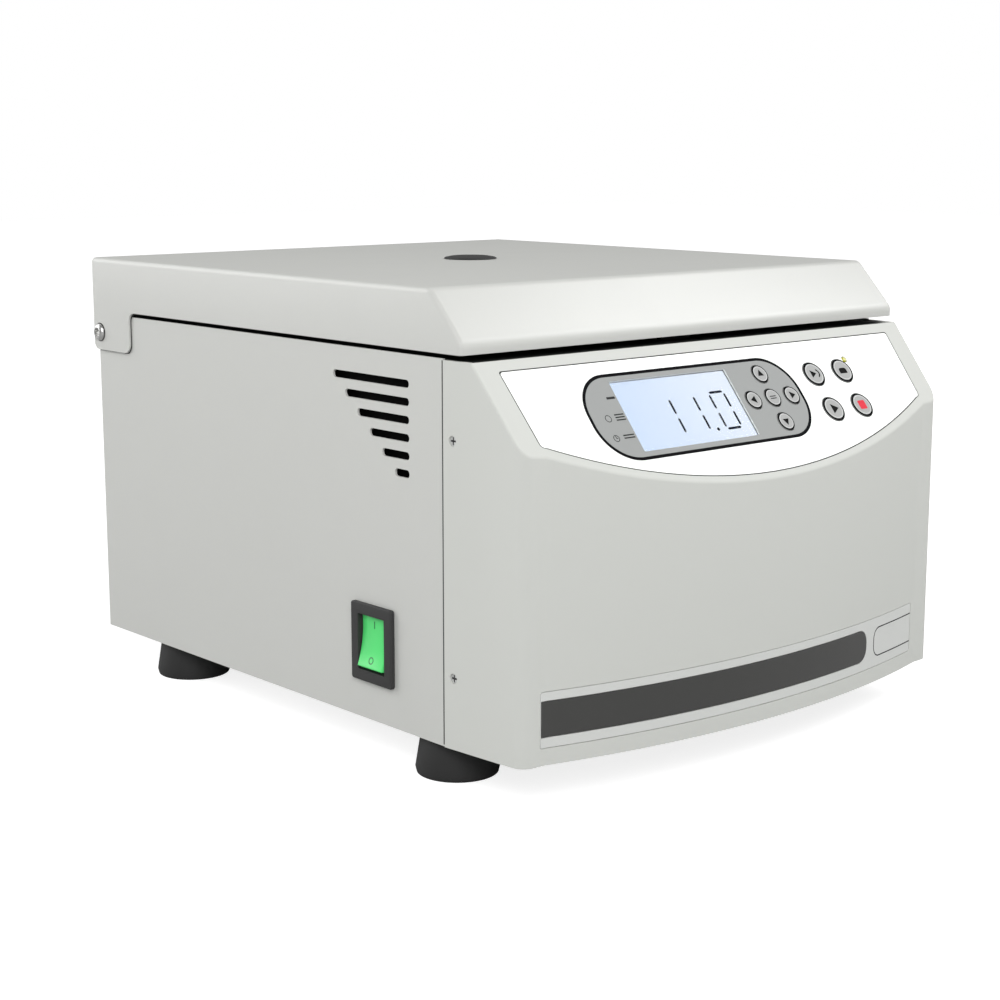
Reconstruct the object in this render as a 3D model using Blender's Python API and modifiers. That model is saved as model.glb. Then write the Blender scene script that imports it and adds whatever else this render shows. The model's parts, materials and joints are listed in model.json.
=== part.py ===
"""Bench-top laboratory centrifuge: sheet-steel cabinet and hinged lid, moulded front, angle rotor.

Metres, +Z up, +Y to the rear. The origin is on the surface that it stands on, under its middle.
"""

import math

import bmesh
import bpy
from mathutils import Matrix, Vector

# ---- Driving dimensions, in metres ----
LID_WIDTH = 0.320
DEPTH = 0.399
LID_TOP = 0.2432
GAP = 0.0003
SHEET = 0.0012

REAR_Y = DEPTH / 2
FRONT_Y = -DEPTH / 2
LID_SIDE = LID_WIDTH / 2
CABINET_SIDE = LID_SIDE - SHEET - 0.0004
CABINET_REAR = REAR_Y - 0.0037
SEAM_Y = -0.1277
BODY_BOTTOM = 0.0204
BODY_TOP = 0.2098
DECK_TOP = 0.2090
DECK_THICKNESS = 0.0025

# Lid
LID_BOTTOM = 0.2129
LID_LIP_TOP = 0.2184
LID_LIP_Y = -0.1421
LID_BEND_Y = -0.1186
ARM_FRONT_Y = 0.1575
ARM_BOTTOM = 0.1892
ARM_CORNER = 0.006
HINGE_Y = 0.1905
HINGE_Z = 0.1995
PAN_BOTTOM = LID_BOTTOM + 0.0007
PAN_THICKNESS = 0.003
PORT_RADIUS = 0.0108
PORT_CAP_RADIUS = 0.0155

# Control front: a straight slope over a bowed upright wall
SLOPE_TOP_Y = -0.1465
SLOPE_ANGLE = math.radians(50.58)
FASCIA_SIDE = 0.159
FASCIA_CORNER_X = 0.155
FASCIA_CORNER_Y = -0.1800
FASCIA_CORNER_RADIUS = 0.007
FASCIA_WALL = 0.0025
BOW_HALF = 0.141
BOW_END_Y = -0.1808
BOW_DEPTH = BOW_END_Y - FRONT_Y
POCKET_DEPTH = 0.0013
FASCIA_SCREW_Y = -0.1340
FASCIA_SCREWS_Z = (0.0561, 0.1719)

# Panel sheet on the slope: x across, s down the slope from its top edge
PANEL_TOP = 0.0065
PANEL_TOP_HALF = 0.1435
PANEL_CORNER_HALF = 0.1408
PANEL_CORNER = 0.0485
PANEL_BOTTOM = 0.0795
PANEL_THICKNESS = 0.001
DISPLAY_X = -0.0386
DISPLAY_S = 0.0382
DISPLAY_WIDTH = 0.082
DISPLAY_HEIGHT = 0.0398
KEY_PAD_X = 0.0262
KEY_PAD_S = 0.0383
KEY_PITCH = 0.0147
SMALL_KEY = 0.0054
LARGE_KEY = 0.0073
KEY_PROUD = 0.0006
KEY_SWITCH_HALF = 0.003
LED_PLACE = (0.0971, 0.0205)

# Label on the bowed wall
LABEL_LEFT = -0.1440
LABEL_RIGHT = 0.1335
LABEL_BOTTOM = 0.0290
LABEL_TOP = 0.0563
STRIP_RIGHT = 0.0822
STRIP_BOTTOM = 0.0343
STRIP_TOP = 0.0517
LABEL_THICKNESS = 0.0006

# Side wall
VENT_ROWS = 6
VENT_TOP_Z = 0.1958
VENT_PITCH = 0.00884
VENT_HEIGHT = 0.0040
VENT_FRONT_Y = -0.1012
VENT_LONGEST = 0.0615
VENT_STEP = 0.0100
SWITCH_Y = -0.0719
SWITCH_Z = 0.0611
SWITCH_WIDTH = 0.0331
SWITCH_HEIGHT = 0.0406
SWITCH_PROUD = 0.0028
ROCKER_WIDTH = 0.0202
ROCKER_HEIGHT = 0.0268
ROCKER_TILT = math.radians(8)

# Feet
FOOT_X = 0.1373
FOOT_FRONT_Y = -0.1115
FOOT_REAR_Y = 0.1339
FOOT_RADIUS = 0.0213
FOOT_TOP_RADIUS = 0.0185

# Rotor and chamber
ROTOR_Y = 0.0405
BOWL_RADIUS = 0.105
BOWL_FLOOR = 0.121
GUARD_RADIUS = 0.112
GUARD_WALL = 0.0035
ROTOR_BOTTOM = 0.128
ROTOR_TOP = 0.182
ROTOR_RADIUS = 0.088
WELLS = 6
WELL_RADIUS = 0.010
WELL_TILT = math.radians(32)
WELL_DEPTH = 0.046
WELL_RING = 0.050
SPINDLE_RADIUS = 0.0080
MOTOR_RADIUS = 0.044
MOTOR_PLATE_Z = 0.0520

# Rear wall
FAN_X = -0.075
FAN_Z = 0.090
FAN_SIZE = 0.060
FAN_BLADES = 7
INLET_X = 0.085
INLET_Z = 0.065
INLET_WIDTH = 0.0275
INLET_HEIGHT = 0.0200

# Lid lock
LOCK_Y = -0.1245
STRIKER_HALF = 0.011
BOLT_Z = 0.1925

SEGMENTS = 40
SMALL_SEGMENTS = 16
FACING_FRONT = (math.pi / 2, 0, 0)
FACING_SIDE = (math.pi / 2, 0, math.pi / 2)

FINISHES = {
    "cabinet_paint": ((0.60, 0.605, 0.58), 0.45, 0.0),
    "front_moulding": ((0.62, 0.63, 0.60), 0.40, 0.0),
    "panel_film": ((0.86, 0.88, 0.85), 0.30, 0.0),
    "display_glass": ((0.66, 0.78, 0.98), 0.08, 0.0),
    "black_plastic": ((0.030, 0.032, 0.030), 0.45, 0.0),
    "deck_plastic": ((0.045, 0.047, 0.045), 0.55, 0.0),
    "key_grey": ((0.42, 0.43, 0.43), 0.45, 0.0),
    "strip_grey": ((0.070, 0.070, 0.067), 0.40, 0.0),
    "label_film": ((0.66, 0.67, 0.65), 0.35, 0.0),
    "rocker_green": ((0.10, 0.78, 0.20), 0.25, 0.0),
    "led_amber": ((0.95, 0.70, 0.10), 0.25, 0.0),
    "foot_rubber": ((0.020, 0.020, 0.020), 0.80, 0.0),
    "seal_rubber": ((0.030, 0.030, 0.032), 0.75, 0.0),
    "stainless": ((0.62, 0.62, 0.61), 0.28, 1.0),
    "zinc_steel": ((0.52, 0.53, 0.54), 0.40, 1.0),
    "rotor_alloy": ((0.16, 0.17, 0.19), 0.35, 1.0),
    "motor_black": ((0.040, 0.042, 0.045), 0.50, 0.4),
    "board_green": ((0.020, 0.150, 0.060), 0.50, 0.0),
    "nylon": ((0.70, 0.69, 0.64), 0.50, 0.0),
}


# ---- Scene ----
def clear_scene():
    for old in list(bpy.data.objects):
        bpy.data.objects.remove(old, do_unlink=True)


def new_collection(name):
    collection = bpy.data.collections.new(name)
    bpy.context.scene.collection.children.link(collection)
    return collection


def finish_material(name):
    """The Principled material of this finish, made the first time it is asked for."""
    found = bpy.data.materials.get(name)
    if found:
        return found
    colour, roughness, metallic = FINISHES[name]
    material = bpy.data.materials.new(name)
    material.use_nodes = True
    shader = material.node_tree.nodes["Principled BSDF"]
    shader.inputs["Base Color"].default_value = (*colour, 1.0)
    shader.inputs["Roughness"].default_value = roughness
    shader.inputs["Metallic"].default_value = metallic
    return material


clear_scene()
CENTRIFUGE = new_collection("laboratory_centrifuge")
CUTTERS = new_collection("cutters")


# ---- Shape helpers ----
def place(name, mesh, finish, location=(0, 0, 0), rotation=(0, 0, 0), parent=None):
    """A named part in the centrifuge's collection."""
    part = bpy.data.objects.new(name, mesh)
    CENTRIFUGE.objects.link(part)
    part.location = location
    part.rotation_euler = rotation
    part.parent = parent
    mesh.materials.clear()
    mesh.materials.append(finish_material(finish))
    return part


def cutter(name, mesh, location=(0, 0, 0), rotation=(0, 0, 0), parent=None):
    """A hidden helper for a Boolean."""
    tool = bpy.data.objects.new(name, mesh)
    CUTTERS.objects.link(tool)
    tool.location = location
    tool.rotation_euler = rotation
    tool.parent = parent
    tool.hide_render = True
    tool.display_type = "WIRE"
    return tool


def boolean(part, tool, operation="DIFFERENCE"):
    modifier = part.modifiers.new(f"{operation.lower()}_{tool.name}", "BOOLEAN")
    modifier.operation = operation
    modifier.object = tool
    modifier.solver = "EXACT"


def bevel(part, width, segments=2, angle=math.radians(40)):
    modifier = part.modifiers.new("edges", "BEVEL")
    modifier.width = width
    modifier.segments = segments
    modifier.limit_method = "ANGLE"
    modifier.angle_limit = angle


def solidify(part, thickness, offset=-1.0):
    modifier = part.modifiers.new("wall", "SOLIDIFY")
    modifier.thickness = thickness
    modifier.offset = offset
    modifier.use_even_offset = True


def settle(part):
    """Turns the part's modifiers into its mesh and shades it."""
    bpy.context.view_layer.update()
    graph = bpy.context.evaluated_depsgraph_get()
    mesh = bpy.data.meshes.new_from_object(part.evaluated_get(graph))
    part.modifiers.clear()
    part.data = mesh
    mesh.shade_smooth()
    mesh.set_sharp_from_angle(angle=math.radians(35))
    return part


def as_mesh(name, bm):
    bmesh.ops.recalc_face_normals(bm, faces=bm.faces)
    mesh = bpy.data.meshes.new(name)
    bm.to_mesh(mesh)
    bm.free()
    return mesh


def block(name, low, high):
    """A box mesh between two corners."""
    bm = bmesh.new()
    bmesh.ops.create_cube(bm, size=1.0)
    size = Vector(high) - Vector(low)
    bmesh.ops.scale(bm, vec=size, verts=bm.verts)
    bmesh.ops.translate(bm, vec=(Vector(high) + Vector(low)) / 2, verts=bm.verts)
    return as_mesh(name, bm)


def cylinder(name, radius, low, high, segments=SEGMENTS, top_radius=None):
    """A cylinder or cone mesh along Z between two heights."""
    bm = bmesh.new()
    bmesh.ops.create_cone(
        bm,
        cap_ends=True,
        segments=segments,
        radius1=radius,
        radius2=radius if top_radius is None else top_radius,
        depth=high - low,
    )
    bmesh.ops.translate(bm, vec=(0, 0, (high + low) / 2), verts=bm.verts)
    return as_mesh(name, bm)


def joined(name, meshes):
    """Several closed meshes as one mesh."""
    bm = bmesh.new()
    for mesh in meshes:
        bm.from_mesh(mesh)
        bpy.data.meshes.remove(mesh)
    mesh = bpy.data.meshes.new(name)
    bm.to_mesh(mesh)
    bm.free()
    return mesh


def turned(name, profile, finish, location, steps=SEGMENTS, closed=True):
    """A turned part: (radius, height) points, down the outer side first."""
    mesh = bpy.data.meshes.new(name)
    edges = [(i, i + 1) for i in range(len(profile) - 1)]
    if closed:
        edges.append((len(profile) - 1, 0))
    mesh.from_pydata([(r, 0, z) for r, z in profile], edges, [])
    part = place(name, mesh, finish, location)
    screw = part.modifiers.new("turn", "SCREW")
    screw.steps = steps
    screw.render_steps = steps
    screw.use_merge_vertices = True
    screw.merge_threshold = 0.00005
    screw.use_smooth_shade = True
    return part


def corner_outline(corners, steps=4):
    """A closed outline from (x, y, radius) corners, each radius drawn as an arc."""
    points = []
    count = len(corners)
    for i, (x, y, radius) in enumerate(corners):
        here = Vector((x, y))
        if radius == 0:
            points.append(here)
            continue
        before = (Vector(corners[i - 1][:2]) - here).normalized()
        after = (Vector(corners[(i + 1) % count][:2]) - here).normalized()
        half = before.angle(after) / 2
        centre = here + (before + after).normalized() * (radius / math.sin(half))
        first = here + before * (radius / math.tan(half)) - centre
        last = here + after * (radius / math.tan(half)) - centre
        sweep = math.atan2(first.cross(last), first.dot(last))
        for step in range(steps + 1):
            turn = Matrix.Rotation(sweep * step / steps, 2)
            points.append(centre + turn @ first)
    return points


def rectangle(low_x, high_x, low_y, high_y, radius, steps=4):
    corners = ((low_x, low_y), (high_x, low_y), (high_x, high_y), (low_x, high_y))
    return corner_outline([(x, y, radius) for x, y in corners], steps)


def circle(x, y, radius, segments=SEGMENTS):
    turns = [2 * math.pi * i / segments for i in range(segments)]
    return [Vector((x + radius * math.cos(t), y + radius * math.sin(t))) for t in turns]


def flat_solid(name, outlines, low, high):
    """Flat outlines, holes among them, filled in the XY plane and thickened from low to high."""
    curve = bpy.data.curves.new(name, "CURVE")
    curve.dimensions = "2D"
    curve.fill_mode = "BOTH"
    curve.extrude = (high - low) / 2
    for outline in outlines:
        spline = curve.splines.new("POLY")
        spline.points.add(len(outline) - 1)
        for point, (x, y) in zip(spline.points, outline):
            point.co = (x, y, 0, 1)
        spline.use_cyclic_u = True
    holder = bpy.data.objects.new(name, curve)
    CUTTERS.objects.link(holder)
    bpy.context.view_layer.update()
    graph = bpy.context.evaluated_depsgraph_get()
    mesh = bpy.data.meshes.new_from_object(holder.evaluated_get(graph))
    bpy.data.objects.remove(holder, do_unlink=True)
    bpy.data.curves.remove(curve)
    mesh.transform(Matrix.Translation((0, 0, (high + low) / 2)))
    bm = bmesh.new()
    bm.from_mesh(mesh)
    bmesh.ops.remove_doubles(bm, verts=bm.verts, dist=0.000005)
    bmesh.ops.recalc_face_normals(bm, faces=bm.faces)
    bm.to_mesh(mesh)
    bm.free()
    return mesh


def empty(name, location, rotation=(0, 0, 0)):
    frame = bpy.data.objects.new(name, None)
    CENTRIFUGE.objects.link(frame)
    frame.location = location
    frame.rotation_euler = rotation
    return frame


# The slope's own frame: X across, Y up the slope, Z out of it.
SLOPE = empty("slope_frame", (0, SLOPE_TOP_Y, BODY_TOP), (SLOPE_ANGLE, 0, 0))


# ---- Cabinet ----
def vent_slots():
    """Vent slots as outlines in (y, z): one front end, each row shorter than the last."""
    slots = []
    for row in range(VENT_ROWS):
        z = VENT_TOP_Z - VENT_PITCH * row
        rear = VENT_FRONT_Y + VENT_LONGEST - VENT_STEP * row
        half = VENT_HEIGHT / 2
        slots.append(rectangle(VENT_FRONT_Y, rear, z - half, z + half, half * 0.98, 2))
    return slots


def make_cabinet():
    """Both side walls and the rear wall, bent from one sheet."""
    bm = bmesh.new()
    bmesh.ops.create_cube(bm, size=1.0)
    size = (2 * CABINET_SIDE, CABINET_REAR - SEAM_Y - GAP, BODY_TOP - BODY_BOTTOM)
    middle = (0, (CABINET_REAR + SEAM_Y + GAP) / 2, (BODY_TOP + BODY_BOTTOM) / 2)
    bmesh.ops.scale(bm, vec=size, verts=bm.verts)
    bmesh.ops.translate(bm, vec=middle, verts=bm.verts)
    loose = [f for f in bm.faces if abs(f.normal.z) > 0.9 or f.normal.y < -0.9]
    bmesh.ops.delete(bm, geom=loose, context="FACES_ONLY")
    corners = [e for e in bm.edges if len(e.link_faces) == 2]
    bmesh.ops.bevel(bm, geom=corners, offset=0.0015, segments=2, profile=0.5, affect="EDGES")
    mesh = bpy.data.meshes.new("cabinet_shell")
    bm.to_mesh(mesh)
    bm.free()
    shell = place("cabinet_shell", mesh, "cabinet_paint")
    solidify(shell, SHEET)
    vents = flat_solid("vent_slots", vent_slots(), -0.17, 0.17)
    boolean(shell, cutter("vent_slots", vents, rotation=FACING_SIDE))
    hole = rectangle(-0.0144, 0.0144, -0.0179, 0.0179, 0)
    opening = flat_solid("switch_opening", [hole], -0.01, 0.01)
    where = (-CABINET_SIDE, SWITCH_Y, SWITCH_Z)
    boolean(shell, cutter("switch_opening", opening, where, FACING_SIDE))
    shank = cylinder("hinge_holes", 0.0029, -0.17, 0.17, 16)
    shank_place = (0, HINGE_Y, HINGE_Z)
    boolean(shell, cutter("hinge_holes", shank, shank_place, (0, math.pi / 2, 0)))
    fan_hole = circle(FAN_X, FAN_Z, 0.027, 32)
    half_w = INLET_WIDTH / 2 + GAP
    half_h = INLET_HEIGHT / 2 + GAP
    inlet = rectangle(
        INLET_X - half_w, INLET_X + half_w, INLET_Z - half_h, INLET_Z + half_h, 0
    )
    rear = flat_solid("rear_openings", [fan_hole, inlet], -0.01, 0.01)
    boolean(shell, cutter("rear_openings", rear, (0, CABINET_REAR, 0), FACING_FRONT))


def make_base_pan():
    """Floor tray with turned-up edges, inside the cabinet walls."""
    bm = bmesh.new()
    bmesh.ops.create_cube(bm, size=1.0)
    half = CABINET_SIDE - SHEET - 0.0004
    rear = CABINET_REAR - SHEET - 0.0004
    front = SEAM_Y + 0.0006
    high = BODY_BOTTOM + 0.012
    bmesh.ops.scale(bm, vec=(2 * half, rear - front, high - BODY_BOTTOM), verts=bm.verts)
    bmesh.ops.translate(bm, vec=(0, (rear + front) / 2, (high + BODY_BOTTOM) / 2), verts=bm.verts)
    top = [f for f in bm.faces if f.normal.z > 0.9]
    bmesh.ops.delete(bm, geom=top, context="FACES_ONLY")
    mesh = bpy.data.meshes.new("base_pan")
    bm.to_mesh(mesh)
    bm.free()
    pan = place("base_pan", mesh, "cabinet_paint")
    solidify(pan, SHEET)


def make_deck():
    """Dark deck under the lid, with the chamber hole and the striker's slot."""
    half = CABINET_SIDE - SHEET - 0.0004
    tongue = 0.1540
    rear = CABINET_REAR - SHEET - 0.0004
    outline = [
        (-half, rear),
        (-half, SEAM_Y + 0.0005),
        (-tongue, SEAM_Y + 0.0005),
        (-tongue, SLOPE_TOP_Y + 0.0031),
        (tongue, SLOPE_TOP_Y + 0.0031),
        (tongue, SEAM_Y + 0.0005),
        (half, SEAM_Y + 0.0005),
        (half, rear),
    ]
    hole = circle(0, ROTOR_Y, BOWL_RADIUS + 0.0056)
    slot = rectangle(-0.013, 0.013, LOCK_Y - 0.0050, LOCK_Y + 0.0050, 0.001, 1)
    low = DECK_TOP - DECK_THICKNESS
    mesh = flat_solid("top_deck", [outline, hole, slot], low, DECK_TOP)
    place("top_deck", mesh, "deck_plastic")


def make_feet():
    places = {
        "front_left": (-FOOT_X, FOOT_FRONT_Y),
        "front_right": (FOOT_X, FOOT_FRONT_Y),
        "rear_left": (-FOOT_X, FOOT_REAR_Y),
        "rear_right": (FOOT_X, FOOT_REAR_Y),
    }
    top = BODY_BOTTOM - GAP
    profile = [
        (0, top),
        (FOOT_TOP_RADIUS, top),
        (FOOT_RADIUS, 0.003),
        (FOOT_RADIUS - 0.001, 0),
        (0.008, 0),
        (0.008, 0.009),
        (0, 0.009),
    ]
    for name, (x, y) in places.items():
        foot = turned(f"foot_{name}", profile, "foot_rubber", (x, y, 0), 24, closed=False)
        settle(foot)


# ---- Control front ----
def bow_y(x, inset=0.0):
    """The upright wall's face at x, moved inwards by inset."""
    radius = (BOW_HALF**2 + BOW_DEPTH**2) / (2 * BOW_DEPTH)
    if abs(x) >= BOW_HALF:
        along = (abs(x) - BOW_HALF) / (FASCIA_CORNER_X - BOW_HALF)
        return BOW_END_Y + (FASCIA_CORNER_Y - BOW_END_Y) * along + inset
    return FRONT_Y + radius - math.sqrt(radius**2 - x**2) + inset


def bow_points(left, right, count, inset=0.0):
    xs = [left + (right - left) * i / count for i in range(count + 1)]
    return [(x, bow_y(x, inset)) for x in xs]


def fascia_plan():
    """The control front's outline from above: tapered sides, round corners, bowed face."""
    rear = SEAM_Y - GAP
    corners = [
        (-FASCIA_SIDE, rear, 0),
        (-FASCIA_CORNER_X, FASCIA_CORNER_Y, FASCIA_CORNER_RADIUS),
    ]
    corners += [(x, y, 0) for x, y in bow_points(-BOW_HALF, BOW_HALF, 20)]
    corners.append((FASCIA_CORNER_X, FASCIA_CORNER_Y, FASCIA_CORNER_RADIUS))
    corners.append((FASCIA_SIDE, rear, 0))
    return corner_outline(corners)


def bow_band(name, outer, inner):
    """A band that follows the upright wall, from one depth under its face to another."""
    near = bow_points(-0.1475, 0.1475, 24, outer)
    far = bow_points(-0.1475, 0.1475, 24, inner)
    return cutter(name, flat_solid(name, [near + far[::-1]], 0.024, 0.062))


def label_outline(clearance=0.0):
    return rectangle(
        LABEL_LEFT - clearance,
        LABEL_RIGHT + clearance,
        LABEL_BOTTOM - clearance,
        LABEL_TOP + clearance,
        0.001 + clearance,
        2,
    )


def strip_outline(clearance=0.0):
    left = LABEL_LEFT + 0.0006 - clearance
    right = STRIP_RIGHT + clearance
    low = STRIP_BOTTOM - clearance
    high = STRIP_TOP + clearance
    end = 0.0072 + clearance
    corners = [(left, low, 0.0003), (right, low, end), (right, high, end), (left, high, 0.0003)]
    return corner_outline(corners)


def panel_outline(clearance=0.0):
    """The panel sheet's outline on the slope: straight top and sides, bowed lower edge."""
    half = PANEL_CORNER_HALF - 0.0035
    drop = PANEL_BOTTOM - PANEL_CORNER - 0.001
    radius = (half**2 + drop**2) / (2 * drop)
    corners = [
        (PANEL_TOP_HALF + clearance, -PANEL_TOP + clearance, 0.0008),
        (-PANEL_TOP_HALF - clearance, -PANEL_TOP + clearance, 0.0008),
        (-PANEL_CORNER_HALF - clearance, -PANEL_CORNER - clearance, 0.0030),
    ]
    for i in range(17):
        x = -half + 2 * half * i / 16
        y = -PANEL_BOTTOM + radius - math.sqrt(radius**2 - x**2) - clearance
        corners.append((x, y, 0))
    corners.append((PANEL_CORNER_HALF + clearance, -PANEL_CORNER - clearance, 0.0030))
    return corner_outline(corners)


def key_places():
    """Each key's name, place on the slope (x, s) and radius."""
    cross = {
        "key_up": (0, -1),
        "key_left": (-1, 0),
        "key_select": (0, 0),
        "key_right": (1, 0),
        "key_down": (0, 1),
    }
    keys = {}
    for name, (across, down) in cross.items():
        place_on_slope = (KEY_PAD_X + KEY_PITCH * across, KEY_PAD_S + KEY_PITCH * down)
        keys[name] = (*place_on_slope, SMALL_KEY)
    keys["key_short_run"] = (0.0667, 0.0274, LARGE_KEY)
    keys["key_lid_release"] = (0.0902, 0.0274, LARGE_KEY)
    keys["key_start"] = (0.0667, 0.0497, LARGE_KEY)
    keys["key_stop"] = (0.0902, 0.0497, LARGE_KEY)
    return keys


def make_fascia():
    """Moulded control front, open at the back and under the deck."""
    mesh = flat_solid("front_fascia", [fascia_plan()], BODY_BOTTOM, BODY_TOP)
    bm = bmesh.new()
    bm.from_mesh(mesh)
    normal = Vector((0, -math.sin(SLOPE_ANGLE), math.cos(SLOPE_ANGLE)))
    cut = bmesh.ops.bisect_plane(
        bm,
        geom=bm.verts[:] + bm.edges[:] + bm.faces[:],
        plane_co=(0, SLOPE_TOP_Y, BODY_TOP),
        plane_no=normal,
        clear_outer=True,
    )
    rim = [g for g in cut["geom_cut"] if isinstance(g, bmesh.types.BMEdge)]
    bmesh.ops.contextual_create(bm, geom=rim)
    bmesh.ops.dissolve_limit(bm, angle_limit=0.001, verts=bm.verts, edges=bm.edges)
    bmesh.ops.recalc_face_normals(bm, faces=bm.faces)
    loose = [f for f in bm.faces if f.normal.z > 0.99 or f.normal.y > 0.99]
    bmesh.ops.delete(bm, geom=loose, context="FACES")
    bm.to_mesh(mesh)
    bm.free()
    fascia = place("front_fascia", mesh, "front_moulding")
    solidify(fascia, FASCIA_WALL)
    fascia.modifiers.new("triangles", "TRIANGULATE")
    seat = flat_solid("panel_seat", [panel_outline(0.0004)], -POCKET_DEPTH, 0.005)
    boolean(fascia, cutter("panel_seat", seat, parent=SLOPE))
    hole = rectangle(-0.086, 0.104, -0.0625, -0.0135, 0.003)
    window = flat_solid("panel_window", [hole], -0.006, 0.001)
    boolean(fascia, cutter("panel_window", window, parent=SLOPE))
    recess = flat_solid("label_pocket", [label_outline(GAP)], 0, 0.06)
    pocket = cutter("label_pocket", recess, (0, -0.17, 0), FACING_FRONT)
    boolean(pocket, bow_band("label_pocket_band", -0.004, LABEL_THICKNESS + 0.0001 + GAP), "INTERSECT")
    settle(pocket)
    boolean(fascia, pocket)
    screws = cylinder("fascia_screw_holes", 0.0027, -0.17, 0.17, 16)
    for i, z in enumerate(FASCIA_SCREWS_Z):
        tool = cutter(f"fascia_screw_hole_{i}", screws, (0, FASCIA_SCREW_Y, z), (0, math.pi / 2, 0))
        boolean(fascia, tool)


def make_label():
    """Label film on the bowed wall and the dark strip let into it."""
    outlines = {
        "front_label": ([label_outline(), strip_outline(GAP)], "label_film", 0.0001),
        "front_strip": ([strip_outline()], "strip_grey", 0.0),
    }
    for name, (shape, finish, inset) in outlines.items():
        film = flat_solid(name, shape, 0, 0.06)
        part = place(name, film, finish, (0, -0.17, 0), FACING_FRONT)
        band = bow_band(f"{name}_band", inset, LABEL_THICKNESS + 0.0001)
        boolean(part, band, "INTERSECT")


def make_panel():
    """Panel sheet, display and keys on the slope."""
    keys = key_places()
    low_x = DISPLAY_X - DISPLAY_WIDTH / 2
    high_x = DISPLAY_X + DISPLAY_WIDTH / 2
    low_y = -DISPLAY_S - DISPLAY_HEIGHT / 2
    high_y = -DISPLAY_S + DISPLAY_HEIGHT / 2
    window = rectangle(low_x - GAP, high_x + GAP, low_y - GAP, high_y + GAP, 0.0008, 2)
    holes = [circle(x, -s, radius + 0.0004, SMALL_SEGMENTS) for x, s, radius in keys.values()]
    holes.append(circle(LED_PLACE[0], -LED_PLACE[1], 0.0019, 12))
    sheet = flat_solid("control_overlay", [panel_outline(), window, *holes], -PANEL_THICKNESS, 0)
    place("control_overlay", sheet, "panel_film", parent=SLOPE)
    pane = rectangle(low_x, high_x, low_y, high_y, 0.0006, 2)
    lens = flat_solid("display_lens", [pane], -0.0011, -0.0001)
    place("display_lens", lens, "display_glass", parent=SLOPE)
    module_low = (low_x - 0.002, low_y - 0.0025, -0.0072)
    module_high = (high_x + 0.002, high_y + 0.0025, -0.0017)
    module = block("display_module", module_low, module_high)
    place("display_module", module, "zinc_steel", parent=SLOPE)
    board = block("control_board", (-0.088, -0.064, -0.0092), (0.106, -0.012, -0.0076))
    control_board = place("control_board", board, "board_green", parent=SLOPE)
    half = KEY_SWITCH_HALF
    switches = [
        block("switch", (x - half, -s - half, -0.0080), (x + half, -s + half, -0.0046))
        for x, s, _ in keys.values()
    ]
    switch_tool = cutter("key_switches", joined("key_switches", switches), parent=SLOPE)
    boolean(control_board, switch_tool, "UNION")
    for name, (x, s, radius) in keys.items():
        disc = cylinder(name, radius, -0.0030, KEY_PROUD, SMALL_SEGMENTS)
        key = place(name, disc, "key_grey", (x, -s, 0), parent=SLOPE)
        bevel(key, 0.0003, 1)
    led = cylinder("status_led", 0.0015, -0.0040, 0.0004, 12)
    place("status_led", led, "led_amber", (LED_PLACE[0], -LED_PLACE[1], 0), parent=SLOPE)


def make_fascia_screws():
    side = FASCIA_SIDE - 0.0005
    for direction, word in ((-1, "left"), (1, "right")):
        for z, level in zip(FASCIA_SCREWS_Z, ("lower", "upper")):
            name = f"fascia_screw_{word}_{level}"
            profile = [
                (0, 0),
                (0.0023, 0),
                (0.0023, -0.0016),
                (0.0014, -0.0022),
                (0.0014, -0.010),
                (0, -0.010),
            ]
            where = (direction * (side - 0.0006), FASCIA_SCREW_Y, z)
            screw = turned(name, profile, "zinc_steel", where, 12, closed=False)
            screw.rotation_euler = (0, direction * math.pi / 2, 0)
            settle(screw)


# ---- Power switch ----
def make_power_switch():
    """Splash frame with its housing, and the rocker in it."""
    where = (-CABINET_SIDE, SWITCH_Y, SWITCH_Z)
    half_w = SWITCH_WIDTH / 2
    half_h = SWITCH_HEIGHT / 2
    outline = rectangle(-half_w, half_w, -half_h, half_h, 0.0015, 2)
    flange = flat_solid("power_switch_frame", [outline], -SWITCH_PROUD, -GAP)
    frame = place("power_switch_frame", flange, "black_plastic", where, FACING_SIDE)
    bevel(frame, 0.0006, 1)
    housing = block("switch_housing", (-0.0140, -0.0175, -0.0015), (0.0140, 0.0175, 0.022))
    boolean(frame, cutter("switch_housing", housing, where, FACING_SIDE), "UNION")
    pocket = block("rocker_pocket", (-0.0107, -0.01445, -0.01), (0.0107, 0.01445, 0.013))
    boolean(frame, cutter("rocker_pocket", pocket, where, FACING_SIDE))
    end = ROCKER_HEIGHT / 2
    outline = [
        (-0.0056, -end),
        (-0.0030, 0),
        (-0.0056, end),
        (0.0040, end),
        (0.0060, 0),
        (0.0040, -end),
    ]
    rocker_mesh = flat_solid("power_rocker", [outline], -ROCKER_WIDTH / 2, ROCKER_WIDTH / 2)
    rocker_mesh.transform(Matrix.Rotation(math.pi / 2, 4, "X"))
    where = (-CABINET_SIDE + 0.0034, SWITCH_Y, SWITCH_Z)
    rocker = place("power_rocker", rocker_mesh, "rocker_green", where, (0, ROCKER_TILT, 0))
    bevel(rocker, 0.0004, 1)


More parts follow.
